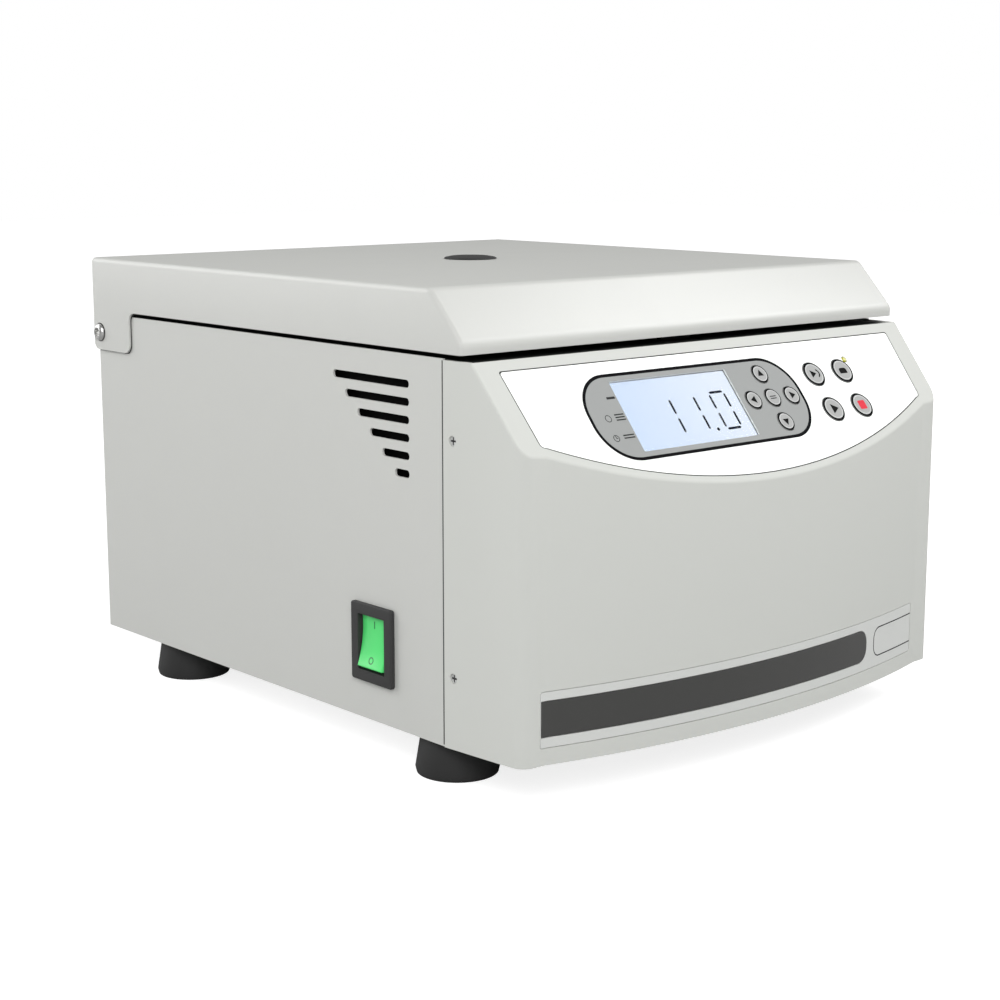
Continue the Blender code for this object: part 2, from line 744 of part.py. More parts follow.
# ---- Rear wall ----
def make_fan():
    """Fan housing with its spider, and the impeller."""
    half = FAN_SIZE / 2
    square = rectangle(-half, half, -half, half, 0.003, 2)
    where = (FAN_X, CABINET_REAR - SHEET - 0.0004, FAN_Z)
    ring = flat_solid("fan_housing", [square, circle(0, 0, 0.0275, 32)], 0, 0.015)
    housing = place("fan_housing", ring, "black_plastic", where, FACING_FRONT)
    for i, degrees in enumerate((45, 135)):
        strut = block(f"fan_strut_{i}", (-0.0285, -0.0015, 0.0122), (0.0285, 0.0015, 0.0150))
        strut.transform(Matrix.Rotation(math.radians(degrees), 4, "Z"))
        boolean(housing, cutter(f"fan_strut_{i}", strut, where, FACING_FRONT), "UNION")
    cover = cylinder("fan_hub_cover", 0.012, 0.0121, 0.0151, 24)
    boolean(housing, cutter("fan_hub_cover", cover, where, FACING_FRONT), "UNION")
    hub = cylinder("fan_impeller", 0.011, 0.0015, 0.0117, 24)
    impeller = place("fan_impeller", hub, "black_plastic", where, FACING_FRONT)
    lean = Matrix.Translation((0, 0, 0.0066)) @ Matrix.Rotation(math.radians(35), 4, "X")
    for i in range(FAN_BLADES):
        blade = block(f"fan_blade_{i}", (0.009, -0.0065, -0.0005), (0.0260, 0.0065, 0.0005))
        blade.transform(Matrix.Rotation(2 * math.pi * i / FAN_BLADES, 4, "Z") @ lean)
        boolean(impeller, cutter(f"fan_blade_{i}", blade, where, FACING_FRONT), "UNION")


def make_fan_guard():
    """Slotted finger guard outside the rear wall."""
    outlines = [rectangle(-0.032, 0.032, -0.032, 0.032, 0.004, 2)]
    for row in range(-3, 4):
        middle = row * 0.0072
        reach = math.sqrt(0.0255**2 - middle**2)
        for low, high in ((-reach, -0.0010), (0.0010, reach)):
            outlines.append(rectangle(low, high, middle - 0.0025, middle + 0.0025, 0.0020, 1))
    plate = flat_solid("fan_guard", outlines, -0.0015, -GAP)
    place("fan_guard", plate, "black_plastic", (FAN_X, CABINET_REAR, FAN_Z), FACING_FRONT)


def make_mains_inlet():
    """Mains inlet: a flange outside the rear wall and a socket behind it."""
    where = (INLET_X, CABINET_REAR, INLET_Z)
    outline = rectangle(-0.0240, 0.0240, -0.0150, 0.0150, 0.006, 3)
    flange = flat_solid("mains_inlet", [outline], -0.0026, -GAP)
    inlet = place("mains_inlet", flange, "black_plastic", where, FACING_FRONT)
    half_w = INLET_WIDTH / 2
    half_h = INLET_HEIGHT / 2
    body = block("inlet_body", (-half_w, -half_h, -0.0010), (half_w, half_h, 0.0240))
    boolean(inlet, cutter("inlet_body", body, where, FACING_FRONT), "UNION")
    corners = [
        (-0.0120, -0.0080, 0.001),
        (0.0120, -0.0080, 0.001),
        (0.0120, 0.0040, 0.004),
        (0.0080, 0.0080, 0.002),
        (-0.0080, 0.0080, 0.002),
        (-0.0120, 0.0040, 0.004),
    ]
    hollow = flat_solid("inlet_socket", [corner_outline(corners, 2)], -0.01, 0.0155)
    boolean(inlet, cutter("inlet_socket", hollow, where, FACING_FRONT))


# ---- Drive, chamber and rotor ----
def make_drive():
    axis = (0, ROTOR_Y, 0)
    floor = BODY_BOTTOM + SHEET + GAP
    plate = MOTOR_PLATE_Z
    settle(turned("guard_ring", [
        (GUARD_RADIUS + GUARD_WALL, 0.200),
        (GUARD_RADIUS + GUARD_WALL, floor),
        (GUARD_RADIUS, floor),
        (GUARD_RADIUS, 0.200),
    ], "zinc_steel", axis))
    wall = BOWL_RADIUS
    settle(turned("chamber_bowl", [
        (wall + 0.0045, 0.2062),
        (wall + 0.0045, 0.2050),
        (wall + 0.0012, 0.2050),
        (wall + 0.0012, BOWL_FLOOR + 0.010),
        (wall - 0.0080, BOWL_FLOOR),
        (0.0225, BOWL_FLOOR),
        (0.0225, BOWL_FLOOR + 0.005),
        (0.0237, BOWL_FLOOR + 0.005),
        (0.0245, BOWL_FLOOR + 0.0012),
        (wall - 0.0085, BOWL_FLOOR + 0.0012),
        (wall, BOWL_FLOOR + 0.0105),
        (wall, 0.2062),
    ], "stainless", axis))
    settle(turned("chamber_gasket", [
        (wall + 0.0050, 0.2100),
        (wall + 0.0050, 0.2066),
        (wall - 0.0008, 0.2066),
        (wall - 0.0008, 0.2100),
        (wall + 0.0010, 0.2109),
        (wall + 0.0030, 0.2109),
    ], "seal_rubber", axis))
    settle(turned("motor_plate", [
        (0.080, plate + 0.003),
        (0.080, plate),
        (0.012, plate),
        (0.012, plate + 0.003),
    ], "zinc_steel", axis, 32))
    for i in range(3):
        turn = math.radians(90 + 120 * i)
        where = (0.064 * math.cos(turn), ROTOR_Y + 0.064 * math.sin(turn), 0)
        low = floor
        high = plate - GAP
        middle = (low + high) / 2
        settle(turned(f"motor_damper_{i + 1}", [
            (0, high),
            (0.014, high),
            (0.014, high - 0.003),
            (0.011, middle),
            (0.014, low + 0.003),
            (0.014, low),
            (0, low),
        ], "seal_rubber", where, 20, closed=False))
    top = 0.112
    settle(turned("motor_housing", [
        (0, 0.070),
        (0.0075, 0.070),
        (0.0075, 0.118),
        (0.016, 0.118),
        (0.018, top),
        (MOTOR_RADIUS - 0.003, top),
        (MOTOR_RADIUS, top - 0.003),
        (MOTOR_RADIUS, plate + 0.003 + GAP),
        (0, plate + 0.003 + GAP),
    ], "motor_black", axis, 32, closed=False))


def make_rotor():
    axis = (0, ROTOR_Y, 0)
    settle(turned("motor_spindle", [
        (0, ROTOR_TOP - 0.0004),
        (SPINDLE_RADIUS - 0.001, ROTOR_TOP - 0.0004),
        (SPINDLE_RADIUS, ROTOR_TOP - 0.002),
        (SPINDLE_RADIUS, ROTOR_BOTTOM - GAP),
        (0.014, ROTOR_BOTTOM - GAP),
        (0.010, 0.1205),
        (0.006, 0.1205),
        (0.006, 0.074),
        (0, 0.074),
    ], "stainless", axis, 24, closed=False))
    bore = SPINDLE_RADIUS + GAP
    head = turned("rotor_head", [
        (0.058, ROTOR_TOP - 0.003),
        (ROTOR_RADIUS, 0.1470),
        (ROTOR_RADIUS, 0.1320),
        (ROTOR_RADIUS - 0.006, ROTOR_BOTTOM),
        (bore, ROTOR_BOTTOM),
        (bore, ROTOR_TOP),
        (0.019, ROTOR_TOP),
        (0.023, ROTOR_TOP - 0.005),
        (0.030, ROTOR_TOP - 0.005),
        (0.034, ROTOR_TOP - 0.003),
    ], "rotor_alloy", axis)
    for i in range(WELLS):
        turn = 2 * math.pi * (i + 0.5) / WELLS
        well = cylinder(f"well_{i}", WELL_RADIUS, -WELL_DEPTH, 0.016, 20)
        mouth = Matrix.Translation((WELL_RING, 0, ROTOR_TOP - 0.003))
        lean = Matrix.Rotation(-WELL_TILT, 4, "Y")
        well.transform(Matrix.Rotation(turn, 4, "Z") @ mouth @ lean)
        boolean(head, cutter(f"well_{i}", well, axis))
    settle(head)
    nut = turned("rotor_nut", [
        (0, 0.1965),
        (0.0125, 0.1965),
        (0.0145, 0.1950),
        (0.0145, 0.1880),
        (0.0175, 0.1860),
        (0.0175, ROTOR_TOP + GAP),
        (0, ROTOR_TOP + GAP),
    ], "stainless", axis, 24, closed=False)
    settle(nut)


def make_electronics():
    """Upright drive board beside the guard ring, with its larger components."""
    sheet = block("drive_board", (0.1390, -0.070, 0.0222), (0.1406, 0.090, 0.130))
    board = place("drive_board", sheet, "board_green")
    pieces = [
        block("choke", (0.1240, -0.062, 0.040), (0.1395, -0.036, 0.066)),
        block("heat_sink", (0.1260, 0.060, 0.040), (0.1395, 0.086, 0.110)),
        block("relay", (0.1270, -0.060, 0.085), (0.1395, -0.045, 0.105)),
    ]
    boolean(board, cutter("board_components", joined("board_components", pieces)), "UNION")


# ---- Lid ----
def lid_side_profile():
    """The lid seen from the side, (y, z), with the hinge arm at its rear."""
    return corner_outline([
        (REAR_Y, LID_TOP, 0.0020),
        (LID_BEND_Y, LID_TOP, 0.0030),
        (LID_LIP_Y, LID_LIP_TOP, 0.0016),
        (LID_LIP_Y, LID_BOTTOM, 0),
        (ARM_FRONT_Y, LID_BOTTOM, 0.0050),
        (ARM_FRONT_Y, ARM_BOTTOM, 0.0040),
        (REAR_Y, ARM_BOTTOM, ARM_CORNER),
    ], 3)


def make_lid_shell():
    """Bent-sheet lid: top, sloped front, lip, side skirts with hinge arms, rear skirt."""
    mesh = flat_solid("lid_shell", [lid_side_profile()], -LID_SIDE, LID_SIDE)
    mesh.transform(Matrix.Rotation(math.pi / 2, 4, "Z") @ Matrix.Rotation(math.pi / 2, 4, "X"))
    bm = bmesh.new()
    bm.from_mesh(mesh)
    bmesh.ops.dissolve_limit(bm, angle_limit=0.001, verts=bm.verts, edges=bm.edges)
    rims = [
        e
        for e in bm.edges
        if abs(sum(v.co.x for v in e.verts)) > LID_SIDE * 1.99
        and min(v.co.z for v in e.verts) > LID_BOTTOM + 0.001
    ]
    bmesh.ops.bevel(bm, geom=rims, offset=0.0012, segments=2, profile=0.5, affect="EDGES")
    under = [
        f
        for f in bm.faces
        if abs(f.normal.x) < 0.5 and f.calc_center_median().z < LID_BOTTOM + 0.0001
    ]
    bmesh.ops.delete(bm, geom=under, context="FACES")
    bm.to_mesh(mesh)
    bm.free()
    shell = place("lid_shell", mesh, "cabinet_paint")
    solidify(shell, SHEET)
    shell.modifiers.new("triangles", "TRIANGULATE")
    inside = LID_SIDE - SHEET - 0.0001
    between = block("between_arms", (-inside, 0.150, 0.180), (inside, 0.210, LID_BOTTOM))
    boolean(shell, cutter("between_arms", between))
    port = cylinder("lid_port", PORT_RADIUS, 0.230, 0.250, 32)
    boolean(shell, cutter("lid_port", port, (0, ROTOR_Y, 0)))
    bushes = cylinder("bush_holes", 0.0055, -0.17, 0.17, 24)
    boolean(shell, cutter("bush_holes", bushes, (0, HINGE_Y, HINGE_Z), (0, math.pi / 2, 0)))
    return shell


def make_lid_fittings():
    half = LID_SIDE - SHEET - 0.0008
    front = LID_LIP_Y + SHEET + 0.0014
    rear = REAR_Y - SHEET - 0.0004
    outline = rectangle(-half, half, front, rear, 0.001, 1)
    port = circle(0, ROTOR_Y, PORT_RADIUS, 32)
    pan = flat_solid("lid_inner_pan", [outline, port], PAN_BOTTOM, PAN_BOTTOM + PAN_THICKNESS)
    place("lid_inner_pan", pan, "deck_plastic")
    axis = (0, ROTOR_Y, 0)
    settle(turned("lid_pressure_ring", [
        (0.112, PAN_BOTTOM - GAP),
        (0.112, 0.2120),
        (0.111, 0.2113),
        (0.099, 0.2113),
        (0.098, 0.2120),
        (0.098, PAN_BOTTOM - GAP),
    ], "zinc_steel", axis))
    cap = LID_TOP + GAP
    settle(turned("port_plug", [
        (0, cap + 0.0017),
        (PORT_CAP_RADIUS * 0.70, cap + 0.0014),
        (PORT_CAP_RADIUS - 0.0008, cap + 0.0007),
        (PORT_CAP_RADIUS, cap),
        (PORT_RADIUS - 0.0006, cap),
        (PORT_RADIUS - 0.0006, PAN_BOTTOM - 0.0006),
        (0, PAN_BOTTOM - 0.0006),
    ], "black_plastic", axis, 32, closed=False))
    hook = rectangle(-STRIKER_HALF, STRIKER_HALF, 0.1840, 0.2125, 0.002, 2)
    eye = rectangle(-0.0055, 0.0055, 0.1890, 0.1965, 0.001, 2)
    plate = flat_solid("lid_striker", [hook, eye], -0.0015, 0.0015)
    striker = place("lid_striker", plate, "zinc_steel", (0, LOCK_Y, 0), FACING_FRONT)
    foot_low = (-0.016, LOCK_Y - 0.007, 0.2108)
    foot = block("striker_foot", foot_low, (0.016, LOCK_Y + 0.007, PAN_BOTTOM - GAP))
    boolean(striker, cutter("striker_foot", foot), "UNION")
    for direction, word in ((-1, "left"), (1, "right")):
        where = (direction * LID_SIDE, HINGE_Y, HINGE_Z)
        bush = turned(f"hinge_bush_{word}", [
            (0.0051, 0),
            (0.0051, -SHEET),
            (0.0029, -SHEET),
            (0.0029, 0),
        ], "nylon", where, SMALL_SEGMENTS)
        bush.rotation_euler = (0, direction * math.pi / 2, 0)
        settle(bush)


def make_hinges_and_lock():
    for direction, word in ((-1, "left"), (1, "right")):
        where = (direction * (LID_SIDE + GAP), HINGE_Y, HINGE_Z)
        screw = turned(f"hinge_screw_{word}", [
            (0, 0.0012),
            (0.0015, 0.0012),
            (0.0020, 0.0023),
            (0.0034, 0.0022),
            (0.0047, 0.0014),
            (0.0052, 0.0004),
            (0.0052, 0),
            (0.0025, 0),
            (0.0025, -0.0090),
            (0, -0.0090),
        ], "stainless", where, SMALL_SEGMENTS, closed=False)
        screw.rotation_euler = (0, direction * math.pi / 2, 0)
        settle(screw)
        plate = rectangle(0.160, 0.1942, 0.1840, 0.2060, 0.002, 2)
        hole = circle(HINGE_Y, HINGE_Z, 0.0029, SMALL_SEGMENTS)
        low = CABINET_SIDE - SHEET - 0.0004
        near, far = sorted((direction * low, direction * (low - 0.0025)))
        bracket = flat_solid(f"hinge_bracket_{word}", [plate, hole], near, far)
        place(f"hinge_bracket_{word}", bracket, "zinc_steel", rotation=FACING_SIDE)
    rear = LOCK_Y + 0.0390
    front = LOCK_Y + 0.0055
    case = block("lid_lock_housing", (-0.022, front, 0.178), (0.022, rear, 0.2035))
    housing = place("lid_lock_housing", case, "black_plastic")
    bevel(housing, 0.0010, 1)
    channel_low = (-0.0045, front - 0.002, BOLT_Z - 0.0025)
    channel = block("bolt_channel", channel_low, (0.0045, rear - 0.004, BOLT_Z + 0.0025))
    boolean(housing, cutter("bolt_channel", channel))
    bolt = block("lock_bolt", (-0.0040, 0, -0.0020), (0.0040, 0.0240, 0.0020))
    bolt_part = place("lock_bolt", bolt, "zinc_steel", (0, front + 0.0005, BOLT_Z))
    bevel(bolt_part, 0.0004, 1)


make_cabinet()
make_base_pan()
make_deck()
make_feet()
make_fascia()
make_label()
make_panel()
make_fascia_screws()
make_power_switch()
make_fan()
make_fan_guard()
make_mains_inlet()
make_drive()
make_rotor()
make_electronics()
make_lid_shell()
make_lid_fittings()
make_hinges_and_lock()
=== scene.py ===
"""Looks of a bench-top laboratory centrifuge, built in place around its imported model.

Metres, +Z up, +Y to the rear. Laid out as a Blender add-on: sizes and colours are properties,
and each piece or group of like pieces has its own operator.
"""

import json
import math

import bmesh
import bpy
from bpy.props import FloatProperty, FloatVectorProperty, PointerProperty, StringProperty
from mathutils import Matrix, Vector


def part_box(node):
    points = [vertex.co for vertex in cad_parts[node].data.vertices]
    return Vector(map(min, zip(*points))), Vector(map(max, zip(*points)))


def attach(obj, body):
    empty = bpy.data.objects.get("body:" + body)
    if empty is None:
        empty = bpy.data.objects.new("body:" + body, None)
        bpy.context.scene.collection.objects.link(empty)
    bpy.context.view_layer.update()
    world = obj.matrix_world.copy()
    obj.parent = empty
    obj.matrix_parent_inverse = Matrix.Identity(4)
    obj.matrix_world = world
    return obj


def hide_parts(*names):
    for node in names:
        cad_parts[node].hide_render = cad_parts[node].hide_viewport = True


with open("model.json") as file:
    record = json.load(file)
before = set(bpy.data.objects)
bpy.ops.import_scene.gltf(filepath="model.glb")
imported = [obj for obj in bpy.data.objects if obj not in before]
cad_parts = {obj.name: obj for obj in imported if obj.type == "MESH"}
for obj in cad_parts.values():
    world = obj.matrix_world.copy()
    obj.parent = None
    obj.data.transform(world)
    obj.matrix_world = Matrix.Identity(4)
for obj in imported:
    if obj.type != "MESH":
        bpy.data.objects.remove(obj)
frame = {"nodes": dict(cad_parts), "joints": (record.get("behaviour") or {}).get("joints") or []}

bl_info = {
    "name": "Laboratory Centrifuge",
    "version": (1, 0, 0),
    "blender": (4, 5, 0),
    "location": "3D View > Sidebar > Centrifuge",
    "description": "Builds the casing, controls, chamber and rotor of a bench-top centrifuge",
    "category": "Add Mesh",
}

MM = 0.001
MICRON = 0.000001
SAME = 0.001 * MM
WELD = 0.002 * MM
QUARTER = math.pi / 2
SMOOTH_ANGLE = math.radians(38)
SIDES = ((-1, "left"), (1, "right"))
JOINTS = {joint["name"]: joint for joint in frame["joints"]}
KEYS = [name for name in frame["nodes"] if name.startswith("key_")]


def extent(node):
    """A node's two corners and its middle."""
    low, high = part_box(node)
    return low, high, (low + high) / 2


def middle(node):
    return extent(node)[2]


AXIS = middle("rotor_nut")
LID_LOW, LID_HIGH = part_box("lid_shell")
CABINET_LOW, CABINET_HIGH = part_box("cabinet_shell")
FRONT_LOW, FRONT_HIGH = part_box("front_fascia")
SEAM_Y = FRONT_HIGH.y
SLOPE_ANGLE = math.radians(50.58)
SLOPE_TOP_Y = -146.5 * MM
SKIRT_Z = 212.9 * MM
PORT_RADIUS = 10.8 * MM
BOWL_RADIUS = 105 * MM
BOWL_FLOOR = 121 * MM


# ---- Properties ----
def number(name, description, default, **limits):
    return FloatProperty(name=name, description=description, default=default, **limits)


def length(name, description, default):
    return number(name, description, default, subtype="DISTANCE", unit="LENGTH")


def colour(name, description, default):
    return FloatVectorProperty(
        name=name, description=description, default=default, subtype="COLOR", size=3, min=0, max=1
    )


class CasingSizes(bpy.types.PropertyGroup):
    """Sheet metal and moulding."""

    sheet: length("Sheet", "Thickness of the cabinet and lid sheet", 0.0012)
    lid_bend: length("Lid bend", "Radius of the lid's folded edges", 0.0028)
    lid_lip: length("Lid lip", "Height of the upright lip under the lid's sloped front", 0.0055)
    lid_slope_run: length("Lid slope run", "How far the lid's sloped front reaches back", 0.0235)
    arm_length: length("Hinge arm", "Length of the hinge arms at the back of the lid", 0.0420)
    arm_corner: length("Arm corner", "Radius of the hinge arms' corners", 0.0055)
    rim: length("Rim", "How far the cabinet walls stand above the deck frame", 0.0006)
    cabinet_corner: length("Cabinet corner", "Radius of the cabinet's rear corners", 0.0018)
    vent_height: length("Vent height", "Height of one vent slot", 0.0040)
    vent_pitch: length("Vent pitch", "Distance from one vent slot to the next", 0.00884)
    vent_longest: length("Longest vent", "Length of the top vent slot", 0.0615)
    vent_step: length("Vent step", "How much shorter each vent slot is than the one above", 0.0100)
    front_wall: length("Front wall", "Wall of the moulded control front", 0.0025)
    front_corner: length("Front corner", "Radius of the control front's upright corners", 0.0070)
    front_edge: length("Front edge", "Radius round the control front's slope", 0.0010)
    bow_half: length("Bow half width", "Half the width of the bowed wall", 0.1410)
    bow_depth: length("Bow depth", "How far the bowed wall stands forward at its middle", 0.0187)


class PanelSizes(bpy.types.PropertyGroup):
    """Control panel prints, display and label."""

    digits: StringProperty(
        name="Reading", description="Number shown on the display", default="11.0"
    )
    digit_height: length("Digit height", "Height of one display digit", 0.0216)
    digit_width: length("Digit width", "Width of one display digit", 0.0108)
    digit_stroke: length("Digit stroke", "Width of one display segment", 0.00135)
    field_line: length("Field line", "Width of the black line round the grey field", 0.0018)
    ink: length("Ink", "Height of printed ink", 0.00004)
    ring: number(
        "Key ring", "Inner radius of a key's black ring, as a part of its radius", 0.84,
        subtype="FACTOR", min=0.1, max=1,
    )


class Finishes(bpy.types.PropertyGroup):
    """Colours of the finishes."""

    paint: colour("Paint", "Powder coat on the cabinet and lid", (0.605, 0.612, 0.586))
    moulding: colour("Moulding", "Moulded control front", (0.610, 0.620, 0.595))
    film: colour("Panel film", "Printed sheet on the slope", (0.800, 0.815, 0.790))
    field: colour("Field", "Grey field round the display", (0.330, 0.340, 0.335))
    ink: colour("Ink", "Black printing ink", (0.006, 0.006, 0.007))
    key: colour("Key", "Keys", (0.360, 0.365, 0.360))
    stop: colour("Stop", "Stop mark", (0.760, 0.050, 0.075))
    display: colour("Display", "Lit display", (0.640, 0.765, 0.960))
    strip: colour("Strip", "Dark strip on the front", (0.052, 0.052, 0.050))
    label: colour("Label", "Label film on the front", (0.740, 0.755, 0.745))
    rocker: colour("Rocker", "Lit rocker of the power switch", (0.240, 0.690, 0.170))
    black: colour("Black plastic", "Switch frame, fan and inlet", (0.016, 0.017, 0.016))
    rubber: colour("Rubber", "Feet and seals", (0.005, 0.005, 0.005))
    steel: colour("Steel", "Bowl, screws and nut", (0.620, 0.620, 0.610))
    rotor: colour("Rotor", "Anodised rotor", (0.130, 0.140, 0.160))


class StageSettings(bpy.types.PropertyGroup):
    """Floor, light and camera."""

    lens: number("Lens", "Focal length in millimetres", 70.0, min=10)
    key_power: number("Key light", "Power of the main softbox", 43.0, unit="POWER")
    side_power: number("Side light", "Power of the right softbox", 43.0, unit="POWER")
    rear_power: number("Rear light", "Power of the rear softbox", 31.0, unit="POWER")
    surround: number("Surround", "Strength of the pale surround", 0.20, min=0)
    floor: colour("Floor", "Plain pale floor", (0.45, 0.45, 0.45))
    floor_glow: number("Floor glow", "Evens out the floor towards white", 0.82, min=0)


def casing():
    return bpy.context.scene.centrifuge_casing


def panel():
    return bpy.context.scene.centrifuge_panel


def finishes():
    return bpy.context.scene.centrifuge_finishes


# ---- Mesh tools ----
def block(low, high):
    """A box between two corners."""
    bm = bmesh.new()
    bmesh.ops.create_cube(bm, size=1.0)
    bmesh.ops.scale(bm, vec=Vector(high) - Vector(low), verts=bm.verts)
    bmesh.ops.translate(bm, vec=(Vector(high) + Vector(low)) / 2, verts=bm.verts)
    return bm


def bevelled(bm, geom, radius, steps, affect):
    bmesh.ops.bevel(
        bm, geom=geom, offset=radius, offset_type="OFFSET", segments=steps, profile=0.5,
        affect=affect, material=-1, clamp_overlap=True,
    )


def round_edges(bm, edges, radius, steps=4):
    bevelled(bm, edges, radius, steps, "EDGES")


def soften(bm, radius, steps=3):
    """Rounds every sharp edge."""
    bmesh.ops.recalc_face_normals(bm, faces=bm.faces)
    sharp = [e for e in bm.edges if e.is_manifold and e.calc_face_angle() > 0.5]
    round_edges(bm, sharp, radius, steps)


def edges_along(bm, axis):
    """The edges that run along one axis: 0, 1 or 2 for X, Y or Z."""
    return [
        e for e in bm.edges
        if abs(e.verts[0].co[axis] - e.verts[1].co[axis]) > 0.5 * e.calc_length()
    ]


def upright(bm):
    return edges_along(bm, 2)


def of_kind(geom, kind):
    return [g for g in geom if isinstance(g, kind)]


def bisected(bm, where, outward, clear=False):
    """Cuts the mesh along a plane and, if asked, drops what lies outside. Returns the cut."""
    geom = bm.verts[:] + bm.edges[:] + bm.faces[:]
    return bmesh.ops.bisect_plane(
        bm, geom=geom, plane_co=where, plane_no=outward, clear_outer=clear
    )["geom_cut"]


def plate(left, right, low, high, under, top, radius=0.0, steps=8):
    """A flat plate in XY with rounded corners, from one height to another."""
    bm = block((left, low, under), (right, high, top))
    if radius:
        round_edges(bm, upright(bm), radius, steps)
    return bm


def disc(x, y, radius, under, top, steps=48):
    """An upright cylinder, or with few steps a prism."""
    bm = bmesh.new()
    bmesh.ops.create_cone(
        bm, cap_ends=True, segments=steps, radius1=radius, radius2=radius, depth=top - under
    )
    bmesh.ops.translate(bm, vec=(x, y, (top + under) / 2), verts=bm.verts)
    return bm


def points(*pairs):
    """Points given in millimetres."""
    return [(r * MM, z * MM) for r, z in pairs]


def turned(profile, steps=96, radius=0.0, closed=False):
    """A body spun round Z from (radius, height) points."""
    bm = bmesh.new()
    verts = [bm.verts.new((r, 0, z)) for r, z in profile]
    lines = [bm.edges.new(pair) for pair in zip(verts, verts[1:])]
    if closed:
        lines.append(bm.edges.new((verts[-1], verts[0])))
    bmesh.ops.spin(
        bm, geom=verts + lines, cent=(0, 0, 0), axis=(0, 0, 1), angle=2 * math.pi, steps=steps,
        use_merge=True,
    )
    bmesh.ops.remove_doubles(bm, verts=bm.verts, dist=WELD)
    bmesh.ops.recalc_face_normals(bm, faces=bm.faces)
    if radius:
        soften(bm, radius)
    return bm


def joined(parts):
    """Several bmeshes as one."""
    whole = bmesh.new()
    for part in parts:
        mesh = bpy.data.meshes.new("part")
        part.to_mesh(mesh)
        part.free()
        whole.from_mesh(mesh)
        bpy.data.meshes.remove(mesh)
    return whole


def moved(bm, matrix):
    bmesh.ops.transform(bm, matrix=matrix, verts=bm.verts)
    return bm


def as_object(name, bm):
    mesh = bpy.data.meshes.new(name)
    bm.to_mesh(mesh)
    bm.free()
    holder = bpy.data.objects.new(name, mesh)
    bpy.context.scene.collection.objects.link(holder)
    return holder


def settled(holder):
    """The holder's evaluated mesh as a bmesh. The holder goes away."""
    bpy.context.view_layer.update()
    graph = bpy.context.evaluated_depsgraph_get()
    bm = bmesh.new()
    bm.from_object(holder, graph)
    mesh = holder.data
    bpy.data.objects.remove(holder, do_unlink=True)
    bpy.data.meshes.remove(mesh)
    return bm


def carved(bm, tools, operation="DIFFERENCE"):
    """The bmesh with the tools cut from it, or added to it."""
    body = as_object("body", bm)
    tool = as_object("tool", joined(tools))
    boolean = body.modifiers.new("carve", "BOOLEAN")
    boolean.object = tool
    boolean.operation = operation
    boolean.solver = "EXACT"
    result = settled(body)
    mesh = tool.data
    bpy.data.objects.remove(tool, do_unlink=True)
    bpy.data.meshes.remove(mesh)
    return result


def walled(bm, thickness):
    """The open skin with an even wall inside it."""
    skin = as_object("skin", bm)
    wall = skin.modifiers.new("wall", "SOLIDIFY")
    wall.thickness = thickness
    wall.offset = -1.0
    wall.use_even_offset = True
    return settled(skin)


def piece(name, bm, materials, body="root", replaces=(), edge=0.0, edge_steps=2):
    """A finished piece that rides on a body, with smooth faces and softened edges if asked for."""
    made = as_object(name, bm)
    for material in materials if isinstance(materials, list) else [materials]:
        made.data.materials.append(material)
    made.data.shade_smooth()
    made.data.set_sharp_from_angle(angle=SMOOTH_ANGLE)
    if edge:
        bevel = made.modifiers.new("edges", "BEVEL")
        bevel.width = edge
        bevel.segments = edge_steps
        bevel.limit_method = "ANGLE"
        bevel.angle_limit = SMOOTH_ANGLE
        bevel.harden_normals = True
    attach(made, body)
    if replaces:
        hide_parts(*replaces)
    return made


def about(x, y, z=0.0):
    return Matrix.Translation((x, y, z))


def sideways(direction, where):
    """Turns +Z to face left or right, then moves to where."""
    return Matrix.Translation(where) @ Matrix.Rotation(direction * QUARTER, 4, "Y")


# Slope frame: X across, Y up the slope, Z out of it, from the slope's top edge
SLOPE = about(0, SLOPE_TOP_Y, FRONT_HIGH.z) @ Matrix.Rotation(SLOPE_ANGLE, 4, "X")


def on_slope(node):
    """A node's middle in the slope frame."""
    return SLOPE.inverted() @ middle(node)


def bow_radius():
    half, depth = casing().bow_half, casing().bow_depth
    return (half**2 + depth**2) / (2 * depth)


def bow_y(x):
    """The bowed wall's face at x."""
    radius = bow_radius()
    reach = min(abs(x), casing().bow_half)
    return FRONT_LOW.y + radius - math.sqrt(radius**2 - reach**2)


def wrapped(bm):
    """A flat plate drawn in XY, stood up in XZ and bent on to the bowed wall."""
    moved(bm, Matrix.Rotation(QUARTER, 4, "X"))
    for x in range(-145, 146, 5):
        bisected(bm, (x * MM, 0, 0), (1, 0, 0))
    for vert in bm.verts:
        vert.co.y += bow_y(vert.co.x)
    return bm


# ---- Node groups ----
def new_group(name, inputs, outputs):
    """A shader node group with the named sockets, and its in and out nodes."""
    group = bpy.data.node_groups.new(name, "ShaderNodeTree")
    for label, kind, default in inputs:
        socket = group.interface.new_socket(name=label, in_out="INPUT", socket_type=kind)
        socket.default_value = default
    for label, kind in outputs:
        group.interface.new_socket(name=label, in_out="OUTPUT", socket_type=kind)
    enter = group.nodes.new("NodeGroupInput")
    leave = group.nodes.new("NodeGroupOutput")
    enter.location.x = -900
    leave.location.x = 700
    return group, enter, leave


def add(tree, kind, **values):
    """A node with its settings and unlinked socket values."""
    node = tree.nodes.new(kind)
    for key, value in values.items():
        if key in node.inputs:
            node.inputs[key].default_value = value
        else:
            setattr(node, key, value)
    return node


def noise(tree, vector, scale, detail=3.0, roughness=0.55):
    node = add(tree, "ShaderNodeTexNoise", Detail=detail, Roughness=roughness)
    tree.links.new(vector, node.inputs["Vector"])
    link_or_set(tree, scale, node.inputs["Scale"])
    return node.outputs["Fac"]


def link_or_set(tree, value, socket):
    if isinstance(value, bpy.types.NodeSocket):
        tree.links.new(value, socket)
    else:
        socket.default_value = value


